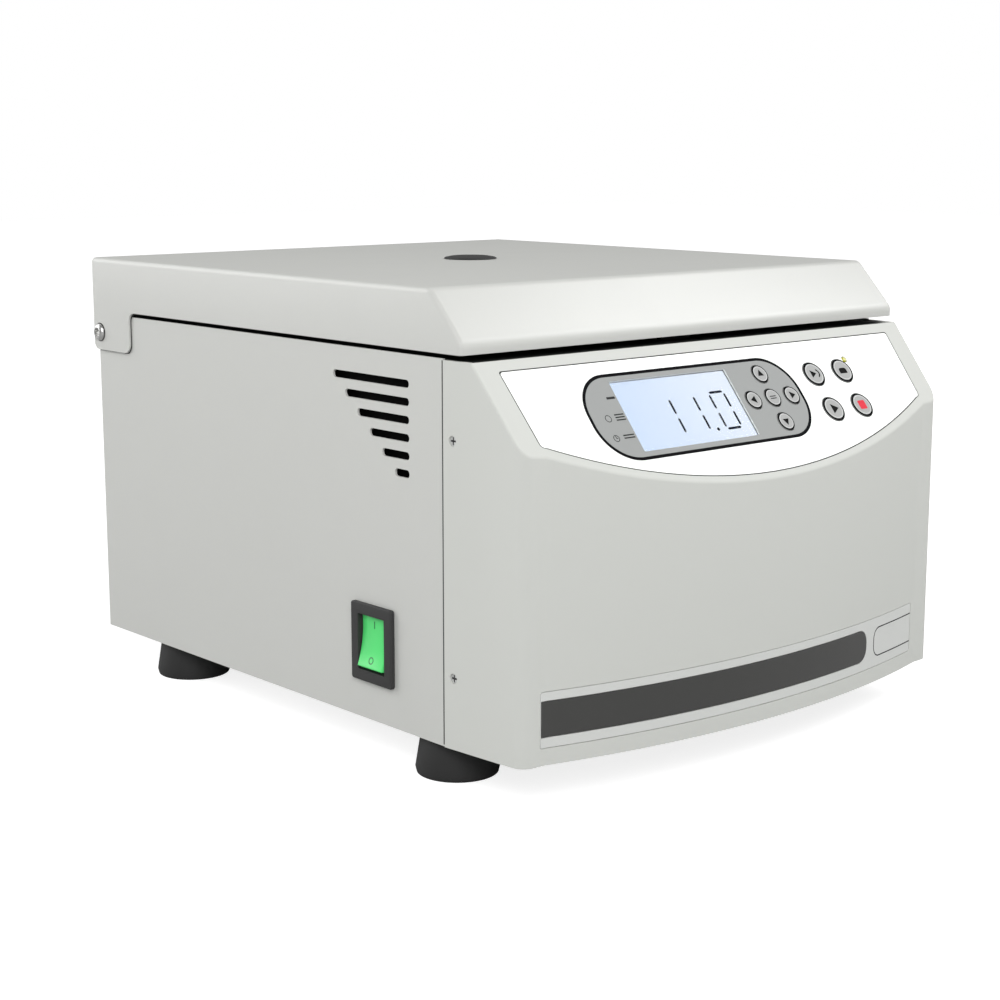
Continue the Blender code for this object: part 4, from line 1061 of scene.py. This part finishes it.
class CENTRIFUGE_OT_display(bpy.types.Operator):
    """Lit display under a clear window, with its reading in seven-segment digits"""

    bl_idname = "centrifuge.display"
    bl_label = "Display"

    def execute(self, context):
        window = moved(display_plate(0.0, -1.1 * MM, -0.1 * MM), SLOPE)
        glass = look("display_window")
        piece("display_window", window, glass, "root", ["display_lens"], 0.1 * MM)
        face = moved(display_plate(0.0, -1.6 * MM, -1.3 * MM), SLOPE)
        piece("display_face", face, self.backlight())
        self.reading()
        return {"FINISHED"}

    def backlight(self):
        """Pale blue light, a little brighter towards the right."""
        blue = finishes().display
        dim = tuple(value * 0.05 for value in blue)
        material = lit("display_backlight", dim, 0.97, 0.60, specular=0.02)
        tree = material.node_tree
        principled = tree.nodes["Principled BSDF"]
        split = add(tree, "ShaderNodeSeparateXYZ")
        tree.links.new(object_vector(tree), split.inputs[0])
        low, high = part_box("display_lens")
        across = remap(tree, split.outputs[0], low.x, high.x, 0.0, 1.0)
        shade = mixed(tree, across, (*blue, 1), (0.80, 0.87, 0.97, 1))
        tree.links.new(shade, principled.inputs["Emission Color"])
        return material

    def reading(self):
        sizes = panel()
        low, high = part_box("display_lens")
        centre = on_slope("display_lens")
        right = high.x - 7.8 * MM
        base = centre.y - 13.6 * MM
        under, top = -1.3 * MM, -1.24 * MM
        bars = []
        for character in reversed(sizes.digits):
            if character == ".":
                point = disc(right + 0.4 * MM, base + 0.5 * MM, 0.95 * MM, under, top, 24)
                bars.append(point)
                right -= 5.1 * MM
                continue
            bars += self.digit(character, right, base)
            right -= sizes.digit_width + 6.6 * MM
        piece("display_reading", moved(joined(bars), SLOPE), look("display_segment"))

    def digit(self, character, right, base):
        """Hexagonal bars of one digit, its right edge and base line given."""
        sizes = panel()
        stroke = sizes.digit_stroke
        wide = sizes.digit_width
        tall = sizes.digit_height / 2
        left = right - wide
        places = {
            "a": (left + wide / 2, base + 2 * tall, True),
            "b": (right, base + 1.5 * tall, False),
            "c": (right, base + 0.5 * tall, False),
            "d": (left + wide / 2, base, True),
            "e": (left, base + 0.5 * tall, False),
            "f": (left, base + 1.5 * tall, False),
            "g": (left + wide / 2, base + tall, True),
        }
        bars = []
        for letter in SEGMENTS[character]:
            x, y, flat = places[letter]
            reach = wide / 2 - stroke * 0.4 if flat else tall / 2 - stroke * 0.9
            across, up = (reach, stroke / 2) if flat else (stroke / 2, reach)
            bar = plate(x - across, x + across, y - up, y + up, -1.3 * MM, -1.24 * MM)
            round_edges(bar, upright(bar), stroke * 0.47, 1)
            bars.append(bar)
        return bars


class CENTRIFUGE_OT_keys(bpy.types.Operator):
    """Nine round keys with their rings and marks, and the lit indicator"""

    bl_idname = "centrifuge.keys"
    bl_label = "Keys"

    def execute(self, context):
        for key in KEYS:
            self.key(key)
            for number, (mark, material) in enumerate(self.marks(key)):
                place = SLOPE @ self.top(key)
                piece(f"{key}_mark_{number + 1}", moved(mark, place), material, key)
        led = on_slope("status_led")
        profile = points((0, 0.4), (1.1, 0.3), (1.5, -0.2), (1.5, -4), (0, -4))
        lens = moved(turned(profile, 32), SLOPE @ about(led.x, led.y))
        amber = lit("indicator_lens", (0.42, 0.40, 0.02), 0.10, 0.3)
        piece("indicator", lens, amber, "root", ["status_led"])
        return {"FINISHED"}

    def top(self, key):
        """The middle of the key's face in the slope frame."""
        centre = on_slope(key)
        return about(centre.x, centre.y, centre.z + 1.8 * MM)

    def key(self, key):
        low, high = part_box(key)
        radius = (high.x - low.x) / 2
        inner = radius * panel().ring
        rim = radius - 0.25 * MM
        profile = [
            (0, 0.0),
            (inner - radius * 0.10, 0.0),
            (inner, -0.02 * MM),
            (rim, -0.03 * MM),
            (radius, -0.28 * MM),
            (radius, -3.6 * MM),
            (0, -3.6 * MM),
        ]
        bm = turned(profile, 64)
        for face in bm.faces:
            reach = face.calc_center_median().xy.length
            on_face = face.normal.z > 0.2
            if on_face and reach > inner:
                face.material_index = 1
            elif on_face and reach > inner - radius * 0.10:
                face.material_index = 2
        # Painted highlight: a lighter copy of the key colour on the narrow ring just inside the
        # black ring.
        bright = tuple(min(1, value * 1.4) for value in finishes().key)
        highlight_ring = finish("key_halo", bright, 0.5, depth=6)
        materials = [look("key_face"), look("black_ink"), highlight_ring]
        piece(key, moved(bm, SLOPE @ self.top(key)), materials, key, [key])

    def marks(self, key):
        """The printed marks on one key, lying on its face."""
        height = 0.05 * MM
        dark = look("key_mark")
        arrow = {"key_up": 90, "key_left": 180, "key_right": 0, "key_down": 270}
        if key in arrow:
            return [(self.arrow(2.5 * MM, 0, math.radians(arrow[key]), height), dark)]
        if key == "key_select":
            bars = [
                plate(-2.2 * MM, 2.2 * MM, y * MM, (y + 0.5) * MM, 0, height) for y in (-0.9, 0.4)
            ]
            return [(joined(bars), dark)]
        if key == "key_start":
            return [(self.arrow(3.4 * MM, 0.2 * MM, 0, height), dark)]
        if key == "key_stop":
            half = 2.7 * MM
            return [(plate(-half, half, -half, half, 0, height, 0.8 * MM), look("stop_mark"))]
        if key == "key_lid_release":
            hood = plate(-2.9 * MM, 2.9 * MM, -1.9 * MM, 1.5 * MM, 0, height)
            upper = [e for e in upright(hood) if e.verts[0].co.y > 0]
            round_edges(hood, upper, 1.5 * MM, 6)
            return [(hood, dark)]
        hole = disc(1.4 * MM, 0, 1.9 * MM, -MM, MM, 40)
        pulse = carved(disc(1.4 * MM, 0, 2.7 * MM, 0, height, 40), [hole])
        pulse = carved(pulse, [block((-6 * MM, -6 * MM, -MM), (2.2 * MM, 6 * MM, MM))])
        pointer = self.arrow(2.7 * MM, -1.2 * MM, 0, height)
        return [(joined([pointer, pulse]), dark)]

    def arrow(self, size, shift, turn, height):
        bm = disc(0, 0, size, 0, height, 3)
        bmesh.ops.rotate(
            bm, cent=(0, 0, 0), matrix=Matrix.Rotation(-QUARTER, 3, "Z"), verts=bm.verts
        )
        point = max(bm.verts, key=lambda v: v.co.x).co.x
        bmesh.ops.rotate(bm, cent=(0, 0, 0), matrix=Matrix.Rotation(turn, 3, "Z"), verts=bm.verts)
        bmesh.ops.translate(bm, vec=(shift + (size - point) / 2, 0, 0), verts=bm.verts)
        return bm


class CENTRIFUGE_OT_label(bpy.types.Operator):
    """Label film on the bowed wall, its dark strip and blank badge"""

    bl_idname = "centrifuge.label"
    bl_label = "Front Label"

    def execute(self, context):
        low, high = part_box("front_label")
        strip_low, strip_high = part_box("front_strip")

        def strip(grow, under, top):
            bm = plate(
                strip_low.x - grow, strip_high.x + grow, strip_low.z - grow, strip_high.z + grow,
                under, top,
            )
            right = [e for e in upright(bm) if e.verts[0].co.x > 0]
            round_edges(bm, right, 7.2 * MM + grow, 12)
            return bm

        sheet = plate(low.x, high.x, low.z, high.z, -0.7 * MM, -0.1 * MM, 1.0 * MM)
        sheet = wrapped(carved(sheet, [strip(0.3 * MM, -2 * MM, 1 * MM)]))
        pale = look("label_film")
        piece("label_sheet", sheet, pale, "root", ["front_label"], 0.1 * MM)
        dark = look("strip_film")
        shape = wrapped(strip(0.0, -0.7 * MM, 0.0))
        piece("label_strip", shape, dark, "root", ["front_strip"], 0.1 * MM)
        line = 0.60 * MM
        corner = 6 * MM
        left, right, base, top = 89.8 * MM, 140 * MM, 34.3 * MM, 50.8 * MM
        outer = plate(left, right, base, top, -0.1 * MM, -0.06 * MM, corner, 12)
        inner = plate(left + line, right, base + line, top - line, -MM, MM, corner - line, 12)
        beyond = block((high.x - 0.2 * MM, 0, -MM), (0.2, 0.1, MM))
        badge = carved(carved(outer, [inner]), [beyond])
        piece("badge_line", wrapped(badge), look("black_ink"))
        return {"FINISHED"}


class CENTRIFUGE_OT_power_switch(bpy.types.Operator):
    """Black switch frame and its lit rocker"""

    bl_idname = "centrifuge.power_switch"
    bl_label = "Power Switch"

    def execute(self, context):
        low, high, centre = extent("power_switch_frame")
        face_x = CABINET_LOW.x
        flange = block(low, (face_x - 0.3 * MM, high.y, high.z))
        round_edges(flange, edges_along(flange, 0), 1.5 * MM, 6)
        outer = [e for e in flange.edges if all(v.co.x < low.x + SAME for v in e.verts)]
        round_edges(flange, outer, 0.7 * MM, 4)

        def through(near, far, half_y, half_z):
            return block(
                (near, centre.y - half_y, centre.z - half_z),
                (far, centre.y + half_y, centre.z + half_z),
            )

        house = through(face_x - 0.4 * MM, high.x, 14.0 * MM, 17.5 * MM)
        body = carved(flange, [house], "UNION")
        body = carved(body, [through(low.x - MM, face_x + 13 * MM, 10.7 * MM, 14.45 * MM)])
        black = look("black_plastic")
        replaced = ["power_switch_frame"]
        piece("switch_frame", body, black, "root", replaced, 0.3 * MM)
        self.rocker()
        return {"FINISHED"}

    def dished(self, bm):
        """Hollows the rocker's outer face from top to bottom and tilts it as switched on."""
        for vert in bm.verts:
            if vert.co.x < -2 * MM:
                vert.co.x += 1.5 * MM * (1 - (vert.co.z / (13.4 * MM)) ** 2)
        pivot = Matrix.Translation(JOINTS["power_rocker_tilt"]["pos_m"])
        return moved(bm, pivot @ Matrix.Rotation(math.radians(8), 4, "Y"))

    def sliced(self, bm):
        for step in range(-12, 13):
            bisected(bm, (0, 0, step * 1.03 * MM), (0, 0, 1))
        return bm

    def rocker(self):
        green = lit("rocker_green", finishes().rocker, 0.32, 0.18, Coat_Weight=0.4)
        body = block((-5.6 * MM, -10.1 * MM, -13.4 * MM), (5.0 * MM, 10.1 * MM, 13.4 * MM))
        soften(body, 0.6 * MM, 3)
        body = self.dished(self.sliced(body))
        piece("rocker", body, green, "power_rocker", ["power_rocker"])
        near, far = -5.66 * MM, -5.55 * MM
        stroke = block((near, -0.35 * MM, 7.2 * MM), (far, 0.35 * MM, 11.0 * MM))
        hole = disc(0, 0, 1.3 * MM, -MM, MM, 32)
        ring = carved(disc(0, 0, 1.9 * MM, 0, far - near, 32), [hole])
        ring = moved(ring, sideways(1, (near, 0, -9.2 * MM)))
        marks = self.dished(self.sliced(joined([stroke, ring])))
        piece("rocker_marks", marks, look("rocker_mark"), "power_rocker")


class CENTRIFUGE_OT_feet(bpy.types.Operator):
    """Four moulded rubber feet with their screws"""

    bl_idname = "centrifuge.feet"
    bl_label = "Feet"

    def execute(self, context):
        head = points((0, 8.9), (3.5, 8.9), (3.5, 6.9), (2.6, 6.1), (0, 6.0))
        for word in ("front_left", "front_right", "rear_left", "rear_right"):
            node = f"foot_{word}"
            low, high, centre = extent(node)
            where = about(centre.x, centre.y)
            profile = [(0, high.z), (18.5 * MM, high.z)]
            profile += points((21.3, 3.0), (20.6, 0), (8, 0), (8, 9), (0, 9))
            foot = moved(turned(profile, 96, 0.5 * MM), where)
            piece(f"rubber_{node}", foot, look("foot_rubber"), "root", [node])
            socket = disc(0, 0, 1.6 * MM, 4.8 * MM, 7.2 * MM, 6)
            screw = moved(carved(turned(head, 48), [socket]), where)
            piece(f"foot_screw_{word}", screw, look("screw_steel"), edge=0.2 * MM)
        return {"FINISHED"}


class CENTRIFUGE_OT_screws(bpy.types.Operator):
    """Hinge screws with their bushes, and the screws that hold the control front"""

    bl_idname = "centrifuge.screws"
    bl_label = "Screws"

    def execute(self, context):
        for side, word in SIDES:
            self.hinge(side, word)
            for level in ("lower", "upper"):
                self.front_screw(side, f"{word}_{level}")
        return {"FINISHED"}

    def hinge(self, side, word):
        """One hinge screw and its bush."""
        node = f"hinge_screw_{word}"
        centre = middle(node)
        profile = points(
            (0, 2.1), (3.2, 2.1), (4.1, 1.7), (4.8, 0.9), (5.0, 0.1), (4.9, 0), (2.5, 0),
            (2.5, -9), (0, -9),
        )
        socket = disc(0, 0, 2.9 * MM, 0.1 * MM, 4.5 * MM, 6)
        where = sideways(side, (side * (LID_HIGH.x + 0.3 * MM), centre.y, centre.z))
        head = moved(carved(turned(profile, 64), [socket]), where)
        piece(node, head, look("screw_steel"), "root", [node], 0.2 * MM)
        node = f"hinge_bush_{word}"
        ring = turned(points((5.1, 0), (5.1, -1.2), (2.9, -1.2), (2.9, 0)), 64, closed=True)
        where = sideways(side, (side * LID_HIGH.x, centre.y, centre.z))
        piece(node, moved(ring, where), look("black_nylon"), "lid", [node], 0.15 * MM)

    def front_screw(self, side, word):
        """One screw that holds the control front, with a black insert of painted shade in its cross
        recess.
        """
        node = f"fascia_screw_{word}"
        low, high, centre = extent(node)
        where = sideways(side, (high.x if side > 0 else low.x, centre.y, centre.z))
        profile = points((0, 0), (2.3, 0), (2.3, -1.6), (1.4, -2.2), (1.4, -10), (0, -10))
        cutter = self.cross(1.9 * MM, 0.5 * MM, -1.3 * MM, 0.2 * MM)
        screw = moved(carved(turned(profile, 48), [cutter]), where)
        # painted shade: a black insert for the shadow in the cross recess
        recess = moved(self.cross(1.85 * MM, 0.45 * MM, -1.25 * MM, -0.15 * MM), where)
        piece(f"front_screw_painted_shade_{word}", recess, look("black_nylon"))
        plated = look("plated_screw")
        piece(f"front_screw_{word}", screw, plated, "root", [node], 0.12 * MM)

    def cross(self, reach, half, under, top):
        """A cross recess to cut from a screw head."""
        along = block((-reach, -half, under), (reach, half, top))
        across = block((-half, -reach, under), (half, reach, top))
        return carved(along, [across], "UNION")


class CENTRIFUGE_OT_deck(bpy.types.Operator):
    """Dark deck with the chamber seal, and the lid's lining, seal ring and viewing plug"""

    bl_idname = "centrifuge.deck"
    bl_label = "Deck and Lid Lining"

    def execute(self, context):
        low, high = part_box("top_deck")
        under, over = low.z - MM, high.z + MM
        rear = block((low.x, -127.2 * MM, low.z), high)
        tongue = block((-154.0 * MM, low.y, low.z), (154.0 * MM, -126 * MM, high.z))
        deck = carved(rear, [tongue], "UNION")
        y = middle("lid_striker").y
        slot = plate(-13 * MM, 13 * MM, y - 5 * MM, y + 5 * MM, under, over, MM, 4)
        deck = carved(deck, [disc(AXIS.x, AXIS.y, 110.6 * MM, under, over, 160), slot])
        dark = look("deck_plastic")
        piece("deck", deck, dark, "root", ["top_deck"], 0.4 * MM)
        profile = points(
            (110.0, 210.0), (110.0, 206.6), (104.2, 206.6), (104.2, 210.0), (106.0, 210.9),
            (108.0, 210.9),
        )
        gasket = moved(turned(profile, 160, 0.3 * MM, closed=True), about(AXIS.x, AXIS.y))
        rubber = look("seal_rubber")
        piece("chamber_seal", gasket, rubber, "root", ["chamber_gasket"])
        self.lining()
        self.plug()
        return {"FINISHED"}

    def lining(self):
        low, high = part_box("lid_inner_pan")
        lining = plate(low.x, high.x, low.y, high.y, low.z, high.z, MM, 4)
        hole = disc(AXIS.x, AXIS.y, PORT_RADIUS, low.z - MM, high.z + MM, 64)
        dark = look("deck_plastic")
        lining = carved(lining, [hole])
        piece("lid_lining", lining, dark, "lid", ["lid_inner_pan"], 0.4 * MM)
        top = low.z - 0.3 * MM
        profile = [(112 * MM, top), *points((112, 212), (111, 211.3), (99, 211.3), (98, 212))]
        profile.append((98 * MM, top))
        ring = moved(turned(profile, 160, 0.25 * MM, closed=True), about(AXIS.x, AXIS.y))
        piece("pressure_ring", ring, bowl_steel(), "lid", ["lid_pressure_ring"])

    def plug(self):
        low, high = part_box("port_plug")
        cap = high.z - 1.7 * MM
        shank = 10.2 * MM
        profile = [
            (0, high.z), (10.9 * MM, cap + 1.4 * MM), (14.7 * MM, cap + 0.7 * MM), (15.5 * MM, cap),
            (shank, cap), (shank, low.z), (0, low.z),
        ]
        plug = moved(turned(profile, 96, 0.25 * MM), about(AXIS.x, AXIS.y))
        black = look("black_plastic")
        piece("viewing_plug", plug, black, "lid", ["port_plug"])


class CENTRIFUGE_OT_chamber(bpy.types.Operator):
    """Spun steel bowl and the guard ring round it"""

    bl_idname = "centrifuge.chamber"
    bl_label = "Chamber"

    def execute(self, context):
        wall, floor = BOWL_RADIUS, BOWL_FLOOR
        rim, neck = 206.2 * MM, 205.0 * MM
        profile = [
            (wall + 4.5 * MM, rim), (wall + 4.5 * MM, neck), (wall + 1.2 * MM, neck),
            (wall + 1.2 * MM, floor + 10 * MM), (wall - 8.0 * MM, floor), (22.5 * MM, floor),
            (22.5 * MM, floor + 5 * MM), (23.7 * MM, floor + 5 * MM),
            (24.5 * MM, floor + 1.2 * MM), (wall - 8.5 * MM, floor + 1.2 * MM),
            (wall, floor + 10.5 * MM), (wall, rim),
        ]
        bowl = moved(turned(profile, 160, 0.45 * MM, closed=True), about(AXIS.x, AXIS.y))
        piece("steel_bowl", bowl, bowl_steel(), "root", ["chamber_bowl"])
        dress(look("zinc_steel"), "guard_ring")
        return {"FINISHED"}


class CENTRIFUGE_OT_rotor(bpy.types.Operator):
    """Angle rotor with six numbered wells, its nut and spindle"""

    bl_idname = "centrifuge.rotor"
    bl_label = "Rotor"

    def execute(self, context):
        low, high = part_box("rotor_head")
        top, base, reach = high.z, low.z, high.x
        shoulder = top - 3 * MM
        bore = 8.3 * MM
        profile = [
            (58 * MM, shoulder), (reach, 147 * MM), (reach, 132 * MM), (reach - 6 * MM, base),
            (bore, base), (bore, top), (19 * MM, top), (23 * MM, top - 5 * MM),
            (30 * MM, top - 5 * MM), (34 * MM, shoulder),
        ]
        head = turned(profile, 160, 0.8 * MM, closed=True)
        mouth = about(50 * MM, 0, shoulder) @ Matrix.Rotation(math.radians(-32), 4, "Y")
        wells = []
        for number in range(6):
            turn = Matrix.Rotation(math.radians(30 + 60 * number), 4, "Z")
            wells.append(moved(disc(0, 0, 10 * MM, -46 * MM, 16 * MM, 64), turn @ mouth))
        head = moved(carved(head, wells), about(AXIS.x, AXIS.y))
        alloy = anodised()
        piece("angle_rotor", head, alloy, "rotor", ["rotor_head"], 0.5 * MM, 3)
        self.numbers(shoulder)
        self.nut()
        dress(look("screw_steel"), "motor_spindle")
        return {"FINISHED"}

    def numbers(self, height):
        """Well numbers on the flat between the wells."""
        outer = about(46 * MM, 0) @ Matrix.Rotation(QUARTER, 4, "Z")
        marks = []
        for number in range(6):
            text = bpy.data.curves.new("number", "FONT")
            text.body = str(number + 1)
            text.size = 7 * MM
            text.extrude = 0.03 * MM
            text.align_x = "CENTER"
            text.align_y = "CENTER"
            holder = bpy.data.objects.new("number", text)
            bpy.context.scene.collection.objects.link(holder)
            bpy.context.view_layer.update()
            graph = bpy.context.evaluated_depsgraph_get()
            mesh = bpy.data.meshes.new_from_object(holder.evaluated_get(graph))
            bm = bmesh.new()
            bm.from_mesh(mesh)
            bpy.data.meshes.remove(mesh)
            bpy.data.objects.remove(holder, do_unlink=True)
            turn = Matrix.Rotation(math.radians(60 * number), 4, "Z")
            marks.append(moved(bm, about(AXIS.x, AXIS.y, height + 0.02 * MM) @ turn @ outer))
        piece("rotor_numbers", joined(marks), look("rotor_marks"), "rotor")

    def nut(self):
        """The knob with twelve flutes and a hexagon socket."""
        low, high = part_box("rotor_nut")
        profile = [(0, high.z), (12.5 * MM, high.z), (14.5 * MM, high.z - 1.5 * MM)]
        profile += points((14.5, 188), (17.5, 186))
        profile += [(17.5 * MM, low.z), (0, low.z)]
        cutters = []
        for step in range(12):
            turn = Matrix.Rotation(math.radians(30 * step), 4, "Z")
            flute = disc(15.4 * MM, 0, 1.9 * MM, 187.9 * MM, high.z + MM, 24)
            cutters.append(moved(flute, turn))
        cutters.append(disc(0, 0, 4.6 * MM, high.z - 4 * MM, high.z + 4 * MM, 6))
        nut = carved(turned(profile, 96, 0.4 * MM), cutters)
        nut = moved(nut, about(AXIS.x, AXIS.y))
        piece("rotor_knob", nut, bowl_steel(), "rotor", ["rotor_nut"], 0.3 * MM)


def refined(node, name, material, body="root", edge=0.4 * MM):
    """A CAD node's shape with merged faces and softened edges."""
    bm = bmesh.new()
    bm.from_mesh(frame["nodes"][node].data)
    bmesh.ops.remove_doubles(bm, verts=bm.verts, dist=WELD)
    bmesh.ops.dissolve_limit(bm, angle_limit=0.01, verts=bm.verts, edges=bm.edges)
    piece(name, bm, material, body, [node], edge)


class CENTRIFUGE_OT_rear(bpy.types.Operator):
    """Fan with its guard, and the mains inlet"""

    bl_idname = "centrifuge.rear"
    bl_label = "Rear Fittings"

    def execute(self, context):
        black = look("black_plastic")
        centre = middle("fan_guard")
        facing = about(centre.x, CABINET_HIGH.y, centre.z) @ Matrix.Rotation(-QUARTER, 4, "X")
        half = 32 * MM
        guard = plate(-half, half, -half, half, 0.3 * MM, 1.5 * MM, 4 * MM, 8)
        slots = []
        for row in range(-3, 4):
            mid = row * 7.2 * MM
            reach = math.sqrt((25.5 * MM) ** 2 - mid**2)
            low, high = mid - 2.5 * MM, mid + 2.5 * MM
            for near, far in ((-reach, -MM), (MM, reach)):
                slots.append(plate(near, far, low, high, 0, 2 * MM, 2.0 * MM, 6))
        guard = moved(carved(guard, slots), facing)
        piece("fan_grille", guard, black, "root", ["fan_guard"], 0.3 * MM)
        profile = points((0, 1.5), (2.2, 1.45), (2.6, 0.6), (2.6, 0.3), (0, 0.3))
        screws = []
        for x, y in points((-28, -28), (28, -28), (28, 28), (-28, 28)):
            slot = block((-2.0 * MM, -0.35 * MM, 1.0 * MM), (2.0 * MM, 0.35 * MM, 2 * MM))
            screws.append(moved(carved(turned(profile, 32), [slot]), facing @ about(x, y)))
        piece("fan_screws", joined(screws), look("screw_steel"))
        refined("fan_housing", "fan_frame", black)
        refined("fan_impeller", "fan_rotor", black, "fan_impeller", edge=0.0)
        refined("mains_inlet", "inlet_socket", black, edge=0.5 * MM)
        low, high, centre = extent("mains_inlet")
        pins = []
        for x, z in points((-7, -2), (7, -2), (0, 3)):
            pin = block(
                (centre.x + x - MM, high.y - 16 * MM, centre.z + z - 2.2 * MM),
                (centre.x + x + MM, high.y - 3 * MM, centre.z + z + 2.2 * MM),
            )
            soften(pin, 0.4 * MM)
            pins.append(pin)
        piece("inlet_pins", joined(pins), look("inlet_pins"))
        return {"FINISHED"}


class CENTRIFUGE_OT_inside(bpy.types.Operator):
    """Lid lock, drive, boards and brackets"""

    bl_idname = "centrifuge.inside"
    bl_label = "Inner Parts"

    def execute(self, context):
        steel = look("screw_steel")
        zinc = look("zinc_steel")
        refined("lid_lock_housing", "lock_case", look("black_plastic"))
        refined("lid_striker", "striker", look("black_oxide"), "lid", 0.3 * MM)
        refined("lock_bolt", "bolt", steel, "lock_bolt", 0.2 * MM)
        dress(zinc, "hinge_bracket_left", "hinge_bracket_right", "motor_plate", "display_module")
        dress(look("seal_rubber"), "motor_damper_1", "motor_damper_2", "motor_damper_3")
        dress(look("motor_paint"), "motor_housing")
        dress(look("circuit_board"), "control_board", "drive_board")
        return {"FINISHED"}


class CENTRIFUGE_OT_stage(bpy.types.Operator):
    """Pale floor, soft light and camera"""

    bl_idname = "centrifuge.stage"
    bl_label = "Stage"

    def execute(self, context):
        settings = context.scene.centrifuge_stage
        bm = bmesh.new()
        bmesh.ops.create_grid(bm, x_segments=1, y_segments=1, size=6.0)
        floor = as_object("floor", bm)
        floor.data.materials.append(self.floor_finish(settings))
        self.light("key_softbox", (-1.55, -1.62, 1.40), 1.4, settings.key_power)
        self.light("side_softbox", (1.78, -1.00, 1.78), 1.4, settings.side_power)
        self.light("rear_softbox", (-1.10, 1.75, 1.10), 1.9, settings.rear_power)
        world = bpy.data.worlds.new("surround")
        context.scene.world = world
        world.use_nodes = True
        tree = world.node_tree
        backdrop = tree.nodes["Background"]
        backdrop.inputs["Color"].default_value = (1, 1, 1, 1)
        path = add(tree, "ShaderNodeLightPath")
        strength = add(tree, "ShaderNodeMapRange")
        strength.inputs["To Min"].default_value = settings.surround
        strength.inputs["To Max"].default_value = 1.0
        tree.links.new(path.outputs["Is Camera Ray"], strength.inputs["Value"])
        tree.links.new(strength.outputs["Result"], backdrop.inputs["Strength"])
        context.scene.view_settings.view_transform = "Standard"
        data = bpy.data.cameras.new("camera")
        data.lens = settings.lens
        data.sensor_width = 36.0
        data.clip_start = 0.01
        camera = bpy.data.objects.new("camera", data)
        context.scene.collection.objects.link(camera)
        camera.location = (-0.7356, -0.8322, 0.3124)
        camera.rotation_euler = (math.radians(90 - 10.548), 0, math.radians(-40.9975))
        context.scene.camera = camera
        return {"FINISHED"}

    def floor_finish(self, settings):
        """A pale board whose even glow rises away from the object, to meet the surround."""
        material = finish("floor_board", settings.floor, 0.6, grain=60, depth=20, tone=0.01)
        tree = material.node_tree
        principled = tree.nodes["Principled BSDF"]
        path = add(tree, "ShaderNodeLightPath")
        reach = add(tree, "ShaderNodeVectorMath", operation="LENGTH")
        tree.links.new(object_vector(tree), reach.inputs[0])
        even = remap(tree, reach.outputs["Value"], 0.4, 1.6, settings.floor_glow, 1.0)
        glow = maths(tree, "MULTIPLY", path.outputs["Is Camera Ray"], even)
        tree.links.new(glow, principled.inputs["Emission Strength"])
        principled.inputs["Emission Color"].default_value = (1, 1, 1, 1)
        return material

    def light(self, name, where, size, power):
        data = bpy.data.lights.new(name, "AREA")
        data.shape = "SQUARE"
        data.size = size
        data.energy = power
        lamp = bpy.data.objects.new(name, data)
        bpy.context.scene.collection.objects.link(lamp)
        lamp.location = where
        aim = Vector((0, 0, 120 * MM)) - lamp.location
        lamp.rotation_euler = aim.to_track_quat("-Z", "Y").to_euler()


OPERATORS = (
    CENTRIFUGE_OT_cabinet,
    CENTRIFUGE_OT_lid,
    CENTRIFUGE_OT_control_front,
    CENTRIFUGE_OT_control_sheet,
    CENTRIFUGE_OT_display,
    CENTRIFUGE_OT_keys,
    CENTRIFUGE_OT_label,
    CENTRIFUGE_OT_power_switch,
    CENTRIFUGE_OT_feet,
    CENTRIFUGE_OT_screws,
    CENTRIFUGE_OT_deck,
    CENTRIFUGE_OT_chamber,
    CENTRIFUGE_OT_rotor,
    CENTRIFUGE_OT_rear,
    CENTRIFUGE_OT_inside,
    CENTRIFUGE_OT_stage,
)


class CENTRIFUGE_PT_pieces(bpy.types.Panel):
    """Lists the operators in build order"""

    bl_idname = "CENTRIFUGE_PT_pieces"
    bl_label = "Laboratory Centrifuge"
    bl_space_type = "VIEW_3D"
    bl_region_type = "UI"
    bl_category = "Centrifuge"

    def draw(self, context):
        for operator in OPERATORS:
            self.layout.operator(operator.bl_idname)


GROUPS = {
    "centrifuge_casing": CasingSizes,
    "centrifuge_panel": PanelSizes,
    "centrifuge_finishes": Finishes,
    "centrifuge_stage": StageSettings,
}


def register():
    for name, group in GROUPS.items():
        bpy.utils.register_class(group)
        setattr(bpy.types.Scene, name, PointerProperty(type=group))
    for operator in OPERATORS:
        bpy.utils.register_class(operator)
    bpy.utils.register_class(CENTRIFUGE_PT_pieces)


def unregister():
    bpy.utils.unregister_class(CENTRIFUGE_PT_pieces)
    for operator in reversed(OPERATORS):
        bpy.utils.unregister_class(operator)
    for name, group in GROUPS.items():
        delattr(bpy.types.Scene, name)
        bpy.utils.unregister_class(group)


def main():
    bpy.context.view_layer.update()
    register()
    for operator in OPERATORS:
        family, name = operator.bl_idname.split(".")
        getattr(getattr(bpy.ops, family), name)()


if __name__ == "__main__":
    main()
